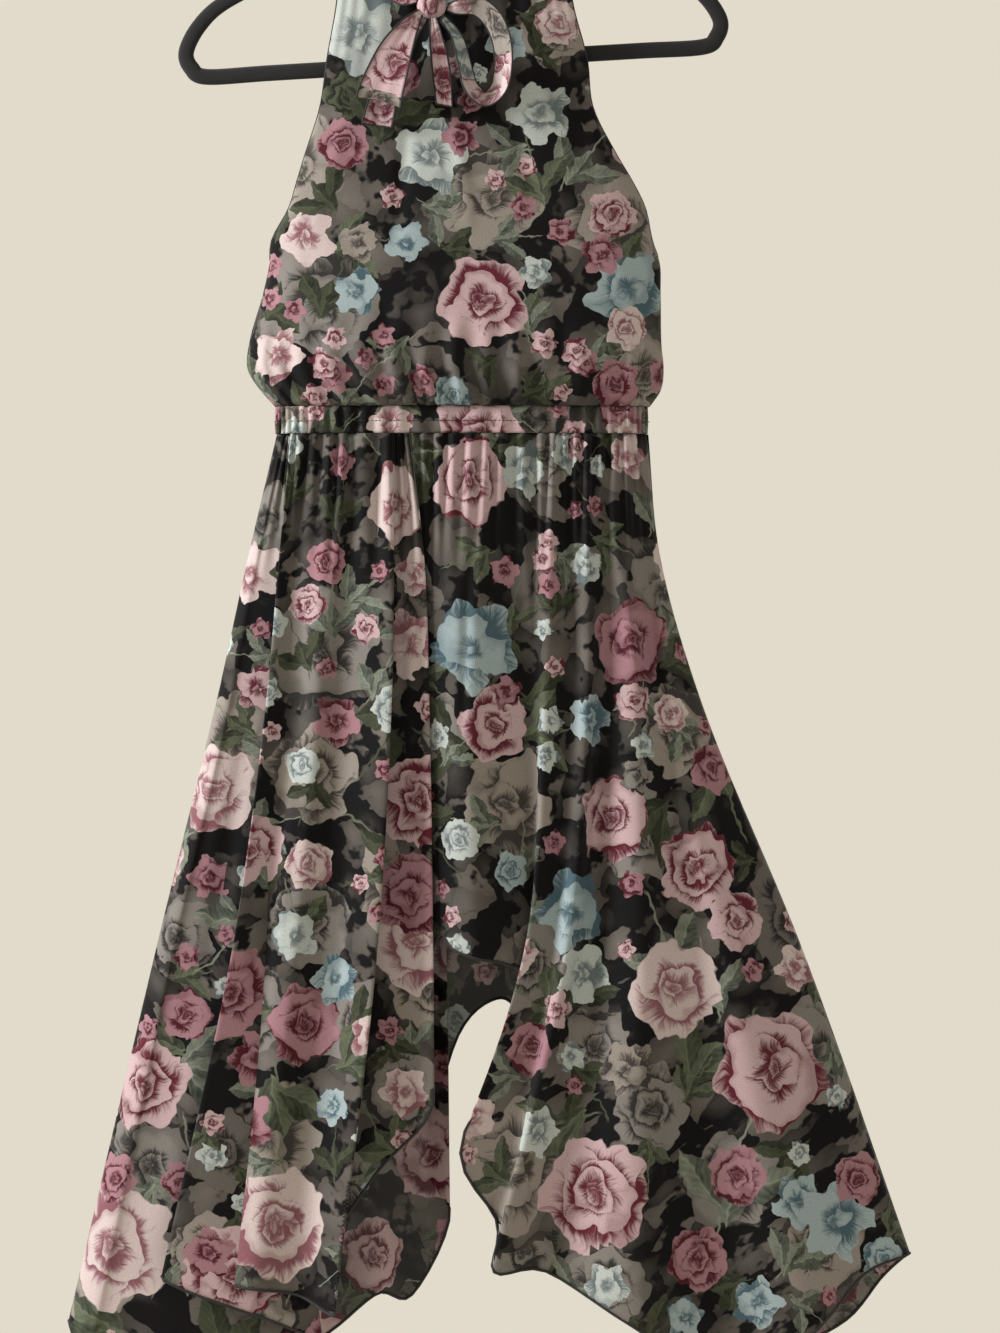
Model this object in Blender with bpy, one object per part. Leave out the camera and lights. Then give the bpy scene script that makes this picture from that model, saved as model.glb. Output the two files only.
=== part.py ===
"""A halter dress in printed chiffon, hung on a slim flocked hanger.

Sizes are in millimetres until a mesh is made. The origin is the inside top of the hanger's hook, where it
hangs. Across is +X to the right as seen from the front, front is the distance towards the viewer (-Y), and
down is the distance below the hang point (-Z).
"""

import math

import bmesh
import bpy
import numpy as np

MM = 0.001

# Cloth
WALL = 1.4
BAND_WALL = 2.4
TIE_WALL = 1.2
SEAM_GAP = 0.3
CHORD_ALLOWANCE = 0.2
LEAST_STAND = 0.4
SHARP_ANGLE = 50.0

# The neck and waist are ovals squarer than an ellipse: the powers of their width and depth
OVAL_ACROSS = 0.8
OVAL_FRONT = 0.75

# Hanger
HANGER_TILT = 3.45
BAR_DOWN = 190.0
BAR_HALF_HEIGHT = 6.5
HANGER_HALF_DEPTH = 2.8
HOOK_WIRE_RADIUS = 1.75
HOOK_INNER_RADIUS = 17.0
HOOK_FOOT_GAP = 0.4
HOOK_ARC = (-48.0, 205.0)

# The hook's straight stretch: across and up from its foot
HOOK_SHANK = ((0.0, 0.0), (0.6, 12.0), (3.0, 22.0))

# Neck
NECK_HALF_WIDTH = 94.0
NECK_HALF_DEPTH = 12.0
BAND_HEIGHT = 24.0
BAND_LOW = 123.0
BAND_REST = 89.5

# Waist
BODICE_END = 468.0
CASING_END = 490.0
WAIST_MIDDLE = 5.5
WAIST_HALF_WIDTH = 149.0
WAIST_HALF_DEPTH = 20.0
CASING_GATHERS = 62
CASING_GATHER_DEPTH = 1.5

# The half hanger's centre line, from its top to its bar: across, up from the bar, half height of the section
HANGER_LINE = (
    (0.0, 106.0, 6.6),
    (50.0, 101.0, 6.0),
    (94.0, 91.5, 6.0),
    (140.0, 77.0, 6.0),
    (183.0, 58.5, 6.0),
    (204.0, 41.0, 6.2),
    (215.5, 21.0, 6.3),
    (212.0, 7.5, 6.5),
    (200.0, 0.0, 6.5),
    (150.0, 0.0, 6.5),
    (75.0, 0.0, 6.5),
)

# The bodice's outline: down, left edge, right edge, half depth, front of its side edge
BODICE_ROWS = (
    (88.0, -92.0, 92.0, 12.0, 8.0),
    (123.0, -93.0, 93.0, 12.5, 8.5),
    (142.0, -94.4, 94.4, 14.0, 9.0),
    (190.0, -102.4, 106.4, 17.0, 10.0),
    (228.0, -108.0, 111.0, 19.0, 10.0),
    (266.0, -120.0, 130.0, 21.0, 9.0),
    (287.0, -126.5, 142.5, 22.5, 8.0),
    (308.0, -133.0, 153.0, 24.0, 6.0),
    (335.0, -147.4, 159.0, 25.5, 3.0),
    (352.0, -149.0, 165.0, 27.0, 0.4),
    (375.0, -153.8, 165.8, 29.0, 0.4),
    (419.0, -165.8, 166.5, 33.0, 0.4),
    (438.0, -166.6, 168.2, 34.0, 0.4),
    (455.0, -156.2, 165.8, 30.0, 0.4),
    (468.0, -144.5, 157.0, 21.5, 0.4),
)
NECK_GATHERS = 13
WAIST_GATHERS = 17
BODICE_GATHER_DEPTH = 1.7
SIDE_CROWDING = 0.42 * math.pi

# The skirt's half depth and the depth of its folds, by how far down
SKIRT_LEVELS = (490.0, 592.0, 704.0, 905.0, 1162.0)
SKIRT_DEPTHS = (20.0, 26.0, 30.0, 36.0, 42.0)
FOLD_DEPTHS = (2.2, 6.0, 9.0, 12.0, 15.0)
SKIRT_GATHER_DEPTH = 1.5
GATHERS_A_FOLD = 1.5

# One row for each ridge, valley or folded edge of the skirt's front, from its left seam to its right one:
# across at each skirt level, then how far it stands out in fold depths, then how far down its hem is
FRONT_FOLDS = (
    (-143.0, -167.0, -191.5, -240.5, -301.0, 0.0, 1204.0),
    (-139.0, -161.0, -182.0, -228.0, -282.0, 0.6, 1232.0),
    (-134.0, -153.0, -172.0, -212.0, -253.0, -0.5, 1262.0),
    (-132.5, -137.0, -139.0, -143.0, -112.0, -1.0, 1222.0),
    (-130.5, -140.0, -150.0, -177.0, -230.0, 1.1, 1166.0),
    (-117.0, -123.0, -129.0, -155.0, -195.0, -0.3, 1168.0),
    (-101.0, -105.0, -110.0, -129.0, -160.0, 0.6, 1172.0),
    (-84.0, -86.0, -90.0, -105.0, -124.0, -0.3, 1178.0),
    (-52.0, -50.0, -51.0, -62.0, -91.0, 1.1, 1191.0),
    (-51.0, -53.0, -58.0, -76.0, -110.0, -0.6, 1156.0),
    (-45.0, -41.0, -41.0, -50.0, -69.0, -0.9, 1083.0),
    (-37.0, -24.5, -20.5, -17.5, -16.5, -0.1, 1026.0),
    (-33.5, -28.5, -27.0, -28.0, -32.0, -1.1, 953.0),
    (-19.0, -18.0, -16.5, -13.0, -8.0, -0.5, 893.0),
    (-2.0, -4.0, -2.0, 0.0, 4.0, 0.5, 903.0),
    (20.5, 16.0, 12.5, 19.0, 20.0, 0.8, 910.0),
    (40.0, 38.0, 36.5, 42.0, 40.0, -0.2, 915.0),
    (62.0, 62.0, 62.0, 60.5, 37.0, -1.0, 933.0),
    (78.5, 76.0, 73.0, 56.0, -37.0, 0.2, 1047.0),
    (93.5, 93.5, 93.5, 76.5, 24.0, -0.5, 1118.0),
    (107.0, 107.0, 107.0, 89.5, 31.0, 0.5, 1158.0),
    (121.5, 120.0, 118.5, 109.0, 73.0, -0.7, 1160.0),
    (137.5, 141.0, 144.0, 149.0, 142.5, 0.9, 1200.0),
    (148.0, 154.0, 162.0, 186.0, 207.0, -0.5, 1242.0),
    (153.0, 161.0, 174.0, 219.5, 269.0, 0.8, 1213.0),
    (156.0, 164.5, 186.0, 250.0, 327.0, -0.3, 1164.0),
    (154.5, 166.0, 198.0, 280.0, 371.0, 0.0, 1150.0),
)

# One row for each fold line of the skirt's back, from its left seam to its right one: its share of the
# width at the waist and at the hem, how far it stands out, and how far down its hem is
BACK_FOLDS = (
    (0.0, 0.0, 0.0, 1204.0),
    (0.045, 0.04, 0.7, 1236.0),
    (0.1, 0.1, -0.6, 1256.0),
    (0.165, 0.17, 0.8, 1262.0),
    (0.23, 0.24, -0.7, 1244.0),
    (0.3, 0.3, 0.6, 1222.0),
    (0.36, 0.355, -0.5, 1188.0),
    (0.41, 0.395, 0.7, 1192.0),
    (0.455, 0.442, -0.2, 1124.0),
    (0.47, 0.405, 0.9, 1080.0),
    (0.5, 0.44, 0.2, 984.0),
    (0.535, 0.5, -0.8, 949.0),
    (0.575, 0.545, 0.5, 962.0),
    (0.63, 0.595, -0.7, 1050.0),
    (0.7, 0.66, 0.8, 1140.0),
    (0.77, 0.745, -0.7, 1205.0),
    (0.84, 0.83, 0.7, 1228.0),
    (0.9, 0.9, -0.5, 1208.0),
    (0.955, 0.96, 0.6, 1172.0),
    (1.0, 1.0, 0.0, 1150.0),
)

# Bow: the knot, then what leaves it
KNOT_CENTRE = (-18.0, 27.0, 149.0)
KNOT_RADII = (12.0, 7.5, 10.5)
KNOT_GAP = 0.2
KNOT_CREASE = 0.02
TIE_START = 2.6
TIE_CROWN = 0.12

# For each tie: the angle and the front offset where it leaves the knot, and where a loop comes back. Then
# its rows: across, front, down, half width, tilt of its width in the picture, swing towards the viewer
TIES = {
    "tie_strand_left": {
        "leaves": (158.0, 0.0),
        "rows": (
            (-38.0, 25.0, 143.0, 6.0, 58.0, 0.0),
            (-48.0, 20.0, 134.0, 10.0, 52.0, 0.0),
            (-60.0, 16.0, 122.5, 12.5, 48.0, 0.0),
            (-70.0, 13.6, 110.0, 13.5, 45.0, 0.0),
        ),
    },
    "tie_strand_right": {
        "leaves": (38.0, 0.0),
        "rows": (
            (0.0, 25.0, 139.0, 5.0, -42.0, 0.0),
            (14.0, 20.5, 131.0, 9.0, -48.0, 0.0),
            (30.0, 16.6, 121.0, 12.0, -50.0, 0.0),
            (44.0, 15.0, 110.0, 13.0, -50.0, 0.0),
        ),
    },
    "tie_loop_left": {
        "leaves": (214.0, 3.5),
        "returns": (214.0, -2.5),
        "rows": (
            (-37.0, 37.0, 168.0, 8.0, -22.0, 0.0),
            (-46.0, 42.0, 186.0, 13.0, -22.0, 6.0),
            (-54.0, 43.0, 207.0, 16.5, -18.0, 10.0),
            (-59.0, 40.0, 222.0, 18.0, -14.0, 8.0),
            (-60.0, 36.5, 228.0, 18.0, -14.0, 4.0),
            (-58.5, 33.0, 223.0, 17.0, -14.0, 0.0),
            (-54.0, 31.5, 207.0, 14.0, -18.0, 0.0),
            (-46.0, 30.5, 186.0, 10.0, -22.0, 0.0),
            (-37.0, 28.0, 168.0, 6.0, -24.0, 0.0),
        ),
    },
    "tie_loop_right": {
        "leaves": (352.0, 1.0),
        "returns": (312.0, -2.0),
        "rows": (
            (4.0, 33.0, 151.0, 7.0, 82.0, 40.0),
            (18.0, 36.0, 151.0, 10.0, 74.0, 50.0),
            (31.0, 37.0, 162.0, 11.0, 38.0, 50.0),
            (38.0, 37.0, 180.0, 11.0, 8.0, 50.0),
            (39.0, 37.0, 200.0, 11.0, -6.0, 50.0),
            (35.0, 37.0, 217.0, 11.0, -40.0, 50.0),
            (24.0, 36.0, 225.0, 10.5, -84.0, 50.0),
            (13.0, 35.0, 214.0, 9.5, -168.0, 50.0),
            (8.0, 33.0, 195.0, 8.0, -176.0, 50.0),
            (2.0, 29.0, 174.0, 5.0, -166.0, 30.0),
        ),
    },
    "tie_tail_left": {
        "leaves": (238.0, -5.0),
        "rows": (
            (-36.0, 25.6, 176.0, 5.5, -22.0, 0.0),
            (-47.0, 26.6, 199.0, 9.0, -18.0, 0.0),
            (-56.0, 27.4, 222.0, 11.0, -14.0, 0.0),
            (-62.0, 28.0, 245.0, 12.0, -8.0, 0.0),
        ),
    },
    "tie_tail_middle": {
        "leaves": (276.0, 3.0),
        "rows": (
            (-15.0, 33.0, 172.0, 4.5, 0.0, 0.0),
            (-12.0, 35.0, 190.0, 6.5, -4.0, 0.0),
            (-9.5, 36.0, 210.0, 7.0, -6.0, 0.0),
            (-8.0, 36.0, 230.0, 6.5, -10.0, 0.0),
        ),
    },
}


def spline(knots, values, at):
    """A smooth curve through the values at rising knots, straight beyond both ends."""
    knots = np.asarray(knots, float)
    values = np.asarray(values, float)
    at = np.asarray(at, float)
    spans = np.diff(knots)
    rates = np.diff(values) / spans
    slopes = np.concatenate([rates[:1], rates, rates[-1:]])
    slopes = (slopes[:-1] + slopes[1:]) / 2
    inside = np.clip(at, knots[0], knots[-1])
    i = np.clip(np.searchsorted(knots, inside, side="right") - 1, 0, len(spans) - 1)
    t = (inside - knots[i]) / spans[i]
    curve = (
        (2 * t**3 - 3 * t**2 + 1) * values[i]
        + (t**3 - 2 * t**2 + t) * spans[i] * slopes[i]
        + (3 * t**2 - 2 * t**3) * values[i + 1]
        + (t**3 - t**2) * spans[i] * slopes[i + 1]
    )
    return curve + (at - inside) * np.where(at < knots[0], slopes[0], slopes[-1])


def across_folds(lines, u):
    """Each fold line's own values, joined smoothly from line to line. The lines are (line, row, column)."""
    count = len(lines)
    i = np.clip(np.floor(u).astype(int), 0, count - 2)
    t = u - i
    before, after = np.maximum(i - 1, 0), np.minimum(i + 2, count - 1)
    columns = np.arange(len(u))
    p0, p1 = lines[before, :, columns].T, lines[i, :, columns].T
    p2, p3 = lines[i + 1, :, columns].T, lines[after, :, columns].T
    bend, pull = (p2 - p0) / 2, (p3 - p1) / 2
    return (
        (2 * t**3 - 3 * t**2 + 1) * p1
        + (t**3 - 2 * t**2 + t) * bend
        + (3 * t**2 - 2 * t**3) * p2
        + (t**3 - t**2) * pull
    )


def cloth_material(name, colour, roughness=0.85, metallic=0.0):
    material = bpy.data.materials.new(name)
    material.use_nodes = True
    shader = material.node_tree.nodes["Principled BSDF"]
    shader.inputs["Base Color"].default_value = (*colour, 1.0)
    shader.inputs["Roughness"].default_value = roughness
    shader.inputs["Metallic"].default_value = metallic
    material.diffuse_color = (*colour, 1.0)
    return material


def add_object(name, points, faces, material):
    """A closed body from points in millimetres as across, front, down."""
    mesh = bpy.data.meshes.new(name)
    places = [(x * MM, -front * MM, -down * MM) for x, front, down in points]
    mesh.from_pydata(places, [], [tuple(int(i) for i in face) for face in faces])
    shape = bmesh.new()
    shape.from_mesh(mesh)
    bmesh.ops.recalc_face_normals(shape, faces=shape.faces)
    shape.to_mesh(mesh)
    shape.free()
    mesh.materials.append(material)
    mesh.shade_smooth()
    mesh.set_sharp_from_angle(angle=math.radians(SHARP_ANGLE))
    body = bpy.data.objects.new(name, mesh)
    bpy.context.collection.objects.link(body)
    return body


def normals_of(grid, ring, level):
    """The unit normal at each grid point, kept level where a wall's edges have to stay at one height."""
    if ring:
        along = np.roll(grid, -1, axis=1) - np.roll(grid, 1, axis=1)
    else:
        along = np.gradient(grid, axis=1)
    normal = np.cross(along, np.gradient(grid, axis=0))
    if level:
        normal[:, :, 2] = 0.0
    return normal / np.linalg.norm(normal, axis=2, keepdims=True)


def wall(name, grid, material, thickness=WALL, ring=False, level=True, seams=False):
    """A closed wall of even thickness about a grid of rows and columns."""
    normal = normals_of(grid, ring, level)
    if seams:
        for column in (0, -1):
            facing = np.sign(normal[:, column, 0])
            normal[:, column] = np.stack([facing, 0 * facing, 0 * facing], axis=1)
    rows, columns = grid.shape[:2]
    skins = [grid + normal * thickness / 2, grid - normal * thickness / 2]
    points = np.concatenate([skin.reshape(-1, 3) for skin in skins])
    index = np.arange(2 * rows * columns).reshape(2, rows, columns)
    if ring:
        index = np.concatenate([index, index[:, :, :1]], axis=2)
    faces = []
    for skin in index:
        corners = (skin[:-1, :-1], skin[:-1, 1:], skin[1:, 1:], skin[1:, :-1])
        faces.append(np.stack(corners, axis=-1).reshape(-1, 4))
    rims = [index[:, 0, :], index[:, -1, :]]
    if not ring:
        rims += [index[:, :, 0], index[:, :, -1]]
    for near, far in rims:
        faces.append(np.stack([near[:-1], near[1:], far[1:], far[:-1]], axis=-1))
    # The second skin and two of the rims face the other way, which the recalculation puts right
    return add_object(name, points, np.concatenate(faces), material)


def oval(turn):
    """A unit oval's across and front at each angle."""
    cosine, sine = np.cos(turn), np.sin(turn)
    return np.sign(cosine) * np.abs(cosine) ** OVAL_ACROSS, np.sign(sine) * np.abs(sine) ** OVAL_FRONT


def hanger_points():
    """The hanger's closed centre line, tilted about the middle of its bar: across, down, half height."""
    half = np.array(HANGER_LINE)
    left = half[::-1].copy()
    left[:, 0] *= -1
    line = np.concatenate([half, [[0.0, 0.0, BAR_HALF_HEIGHT]], left[:-1]])
    tilt = math.radians(HANGER_TILT)
    across = line[:, 0] * math.cos(tilt) - line[:, 1] * math.sin(tilt)
    up = line[:, 0] * math.sin(tilt) + line[:, 1] * math.cos(tilt)
    return np.stack([across, BAR_DOWN - up, line[:, 2]], axis=1)


def arm_top(across):
    """How far down the top of the hanger's arm is, below a place across."""
    line = hanger_points()
    upper = line[line[:, 1] < BAR_DOWN - 30.0]
    upper = upper[np.argsort(upper[:, 0])]
    down = np.interp(across, upper[:, 0], upper[:, 1])
    half_height = np.interp(across, upper[:, 0], upper[:, 2])
    slope = np.interp(across + 1.0, upper[:, 0], upper[:, 1]) - down
    return down - half_height * np.sqrt(1 + slope**2)


def band_lower(across):
    """The neck band's lower edge sags from the hanger's arms, where its ends rest."""
    share = np.minimum(np.abs(across) / BAND_REST, 1.0)
    rest_left = arm_top(-BAND_REST) - SEAM_GAP
    rest_right = arm_top(BAND_REST) - SEAM_GAP
    rest = np.where(np.asarray(across) < 0, rest_left, rest_right)
    return rest + (BAND_LOW - rest) * (1 - share**2)


def fade(down, start, end):
    """1 above start, 0 below end, smooth between. It runs either way."""
    t = np.clip((np.asarray(down, float) - start) / (end - start), 0, 1)
    return 1 - t * t * (3 - 2 * t)


def make_bodice(name, facing, columns, drops, material):
    """Half of the bodice: gathered to the band at the neck, bloused over the waist casing."""
    table = np.array(BODICE_ROWS)
    share = np.linspace(-1, 1, columns + 1)
    place = np.sin(SIDE_CROWDING * share) / math.sin(SIDE_CROWDING)
    top = BAND_LOW + 0 * place
    for _ in range(4):
        left, right = (spline(table[:, 0], table[:, k], top) for k in (1, 2))
        across = (left + right) / 2 + ((right - left) / 2 - WALL / 2) * place
        top = band_lower(across) + SEAM_GAP + CHORD_ALLOWANCE
    down = top + (BODICE_END - top) * np.array(drops)[:, None]
    left, right, depth, edge = (spline(table[:, 0], table[:, k], down) for k in range(1, 5))
    edge = np.maximum(edge, LEAST_STAND)
    middle, half = (left + right) / 2, (right - left) / 2 - WALL / 2
    round_off = np.sqrt(1 - np.abs(place) ** 3)
    neck_wave = np.cos(math.pi * NECK_GATHERS * share) * (1 - fade(down - top, 0, 8)) * fade(down, 150, 250)
    waist_wave = np.cos(math.pi * WAIST_GATHERS * share) * (1 - fade(down, 385, 450))
    gathers = BODICE_GATHER_DEPTH * (neck_wave + waist_wave) * round_off
    front = edge + (depth - edge) * round_off + gathers
    grid = np.stack([middle + half * place + 0 * down, facing * front, down], axis=-1)
    return wall(name, grid, material, seams=True)


def make_casing(material):
    """The elastic casing: a tube drawn up into many small gathers."""
    columns = 2 * CASING_GATHERS
    turn = np.linspace(0, 2 * math.pi, columns, endpoint=False)
    rows = np.array([0.0, 0.5, 1.0])[:, None]
    swell = np.sin(math.pi * rows)
    wave = CASING_GATHER_DEPTH * np.cos(CASING_GATHERS * turn) * (0.6 + 0.4 * swell)
    cosine, sine = np.cos(turn), np.sin(turn)
    oval_across, oval_front = oval(turn)
    across = oval_across * (WAIST_HALF_WIDTH + 0 * rows)
    front = oval_front * (WAIST_HALF_DEPTH + 1.2 * swell)
    length = np.hypot(cosine * WAIST_HALF_DEPTH, sine * WAIST_HALF_WIDTH)
    across = across + wave * cosine * WAIST_HALF_DEPTH / length
    front = front + wave * sine * WAIST_HALF_WIDTH / length
    down = BODICE_END + SEAM_GAP + (CASING_END - BODICE_END - SEAM_GAP) * rows + 0 * turn
    grid = np.stack([WAIST_MIDDLE + across, front, down], axis=-1)
    return wall("waist_casing", grid, material, ring=True)


def make_band(material):
    """The folded neck band: a flat ring that sags between the hanger's arms."""
    turn = np.linspace(0, 2 * math.pi, 48, endpoint=False)
    oval_across, oval_front = oval(turn)
    across, front = oval_across * NECK_HALF_WIDTH, oval_front * NECK_HALF_DEPTH
    lower = band_lower(across)
    rows = np.array([1.0, 0.5, 0.0])[:, None]
    swell = np.array([0.0, 1.0, 0.0])[:, None]
    grid = np.stack(
        [across + 0 * rows, front * (1 + 0.08 * swell), lower - BAND_HEIGHT * rows], axis=-1
    )
    return wall("neck_band", grid, material, thickness=BAND_WALL, ring=True)


def skirt_edges(down):
    """The skirt's left and right outlines."""
    left = spline(SKIRT_LEVELS, FRONT_FOLDS[0][:5], down)
    right = spline(SKIRT_LEVELS, FRONT_FOLDS[-1][:5], down)
    return left, right


def make_skirt(name, lines_at, out, hems, facing, cuts, drops, material):
    """A skirt panel hung in folds. lines_at gives every fold line's place across for an array of depths."""
    folds = len(hems)
    u = np.linspace(0, folds - 1, cuts * (folds - 1) + 1)
    top = CASING_END + SEAM_GAP
    hem = across_folds(np.repeat(np.array(hems)[:, None, None], len(u), axis=2), u)[0]
    down = top + (hem - top) * np.array(drops)[:, None]
    across = across_folds(lines_at(down), u)
    stands = across_folds(np.array(out)[:, None, None] + np.zeros((folds, *down.shape)), u)
    left, right = skirt_edges(down)
    share = np.clip((across - left) / (right - left), 0, 1)
    round_off = np.sqrt(1 - np.abs(2 * share - 1) ** 3)
    depth = spline(SKIRT_LEVELS, SKIRT_DEPTHS, down)
    fold_depth = spline(SKIRT_LEVELS, FOLD_DEPTHS, down)
    gathers = SKIRT_GATHER_DEPTH * np.cos(math.pi * 2 * GATHERS_A_FOLD * u) * fade(down, 500, 610)
    near_side = np.clip(share * 12, 0, 1) * np.clip((1 - share) * 12, 0, 1)
    front = depth * round_off + fold_depth * stands * round_off + gathers * near_side
    front = np.maximum(front, LEAST_STAND)
    across[:, 0] += WALL / 2
    across[:, -1] -= WALL / 2
    grid = np.stack([across, facing * front, down], axis=-1)
    return wall(name, grid, material, seams=True)


def front_lines(down):
    return np.array([spline(SKIRT_LEVELS, row[:5], down) for row in FRONT_FOLDS])


def back_lines(down):
    """The back's fold lines pass from their share of the width at the waist to that at the hem."""
    left, right = skirt_edges(down)
    fall = np.clip((down - SKIRT_LEVELS[0]) / (SKIRT_LEVELS[-1] - SKIRT_LEVELS[0]), 0, 1)
    return np.array([left + (right - left) * (a + (b - a) * fall) for a, b, _, _ in BACK_FOLDS])


def knot_start(angle, offset):
    """A point just off the knot's surface, at an angle in the picture and an offset to the front."""
    cosine, sine = math.cos(math.radians(angle)), math.sin(math.radians(angle))
    shrink = math.sqrt(1 - (offset / KNOT_RADII[1]) ** 2)
    radius = shrink / math.hypot(cosine / KNOT_RADII[0], sine / KNOT_RADII[2]) + KNOT_GAP
    radius += TIE_WALL / 2
    x, front, down = KNOT_CENTRE
    return (x + radius * cosine, front + offset, down - radius * sine, TIE_START, angle - 90.0, 0.0)


def make_tie(name, tie, material):
    """A strip of the tie: its rows give its middle line, its width and how the width is turned."""
    rows = list(tie["rows"])
    first = knot_start(*tie["leaves"])
    turned = round((rows[0][4] - first[4]) / 180.0) * 180.0
    rows.insert(0, (*first[:4], first[4] + turned, 0.0))
    if "returns" in tie:
        last = knot_start(*tie["returns"])
        turned = round((rows[-1][4] - last[4]) / 180.0) * 180.0
        rows.append((*last[:4], last[4] + turned, 0.0))
    table = np.array(rows)
    knots = np.arange(len(table))
    at = np.linspace(0, len(table) - 1, 2 * (len(table) - 1) + 1)
    x, front, down, half, tilt, swing = (spline(knots, table[:, k], at) for k in range(6))
    tilt, swing = np.radians(tilt), np.radians(swing)
    side = np.stack([np.cos(tilt) * np.cos(swing), np.sin(swing), -np.sin(tilt) * np.cos(swing)], axis=1)
    middle = np.stack([x, front, down], axis=1)
    share = np.linspace(-1, 1, 5)
    grid = middle[:, None] + (half[:, None] * share)[:, :, None] * side[:, None]
    path = np.gradient(middle, axis=0)
    crown = np.cross(side, path)
    crown /= np.linalg.norm(crown, axis=1, keepdims=True)
    grid = grid + (TIE_CROWN * half[:, None] * (1 - share**2))[:, :, None] * crown[:, None]
    return wall(name, grid, material, thickness=TIE_WALL, level=False)


def make_knot(material):
    """The knot: a soft lump with a crease round it where the strip crosses over."""
    rings, columns = 9, 16
    rise = np.linspace(0, math.pi, rings)[1:-1]
    turn = np.linspace(0, 2 * math.pi, columns, endpoint=False)
    sine = np.sin(rise)[:, None]
    crease = 1 - KNOT_CREASE * np.abs(np.sin(1.5 * turn + 0.4)) ** 3
    x = KNOT_CENTRE[0] + KNOT_RADII[0] * sine * np.cos(turn) * crease
    front = KNOT_CENTRE[1] + KNOT_RADII[1] * sine * np.sin(turn) * crease
    down = KNOT_CENTRE[2] - KNOT_RADII[2] * np.cos(rise)[:, None] + 0 * turn
    points = np.stack([x, front, down], axis=-1).reshape(-1, 3)
    poles = [
        (KNOT_CENTRE[0], KNOT_CENTRE[1], KNOT_CENTRE[2] - KNOT_RADII[2]),
        (KNOT_CENTRE[0], KNOT_CENTRE[1], KNOT_CENTRE[2] + KNOT_RADII[2]),
    ]
    points = np.concatenate([points, poles])
    index = np.arange((rings - 2) * columns).reshape(rings - 2, columns)
    faces = []
    for i in range(columns):
        j = (i + 1) % columns
        faces.append((len(points) - 2, index[0, i], index[0, j]))
        faces.append((len(points) - 1, index[-1, j], index[-1, i]))
        for k in range(rings - 3):
            faces.append((index[k, i], index[k, j], index[k + 1, j], index[k + 1, i]))
    return add_object("tie_knot", points, faces, material)


def make_hanger(material):
    """The flocked body: one flat oval section carried round the closed line."""
    line = hanger_points()
    knots = np.arange(len(line) + 1)
    closed = np.concatenate([line, line[:1]])
    at = np.linspace(0, len(line), 2 * len(line), endpoint=False)
    across, down, half = (spline(knots, closed[:, k], at) for k in range(3))
    path = np.stack([np.roll(across, -1) - np.roll(across, 1), np.roll(down, -1) - np.roll(down, 1)])
    path /= np.linalg.norm(path, axis=0)
    turn = np.linspace(0, 2 * math.pi, 10, endpoint=False)
    bulge = np.sign(np.cos(turn)) * np.abs(np.cos(turn)) ** 0.8
    x = across[:, None] + half[:, None] * bulge * -path[1][:, None]
    z = down[:, None] + half[:, None] * bulge * path[0][:, None]
    front = HANGER_HALF_DEPTH * np.sin(turn) + 0 * x
    points = np.stack([x, front, z], axis=-1).reshape(-1, 3)
    rows, columns = len(at), len(turn)
    index = np.arange(rows * columns).reshape(rows, columns)
    faces = []
    for i in range(rows):
        for j in range(columns):
            k, m = (i + 1) % rows, (j + 1) % columns
            faces.append((index[i, j], index[k, j], index[k, m], index[i, m]))
    return add_object("hanger_body", points, faces, material)


def make_hook(material):
    """The wire hook: up from the hanger's top, round to the right, over and down to a blunt end."""
    apex = hanger_points()[0]
    radius = HOOK_INNER_RADIUS + HOOK_WIRE_RADIUS
    centre = HOOK_INNER_RADIUS
    foot = apex[1] - apex[2] - HOOK_FOOT_GAP
    route = [(apex[0] + x, foot - up) for x, up in HOOK_SHANK]
    for angle in np.linspace(*HOOK_ARC, 22):
        turn = math.radians(angle)
        route.append((radius * math.cos(turn), centre - radius * math.sin(turn)))
    curve = bpy.data.curves.new("hanger_hook", "CURVE")
    curve.dimensions = "3D"
    curve.bevel_depth = HOOK_WIRE_RADIUS * MM
    curve.bevel_resolution = 2
    curve.use_fill_caps = True
    strand = curve.splines.new("POLY")
    strand.points.add(len(route) - 1)
    for point, (x, down) in zip(strand.points, route):
        point.co = (x * MM, 0.0, -down * MM, 1.0)
    strand.use_smooth = True
    curve.materials.append(material)
    hook = bpy.data.objects.new("hanger_hook", curve)
    bpy.context.collection.objects.link(hook)
    return hook


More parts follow.
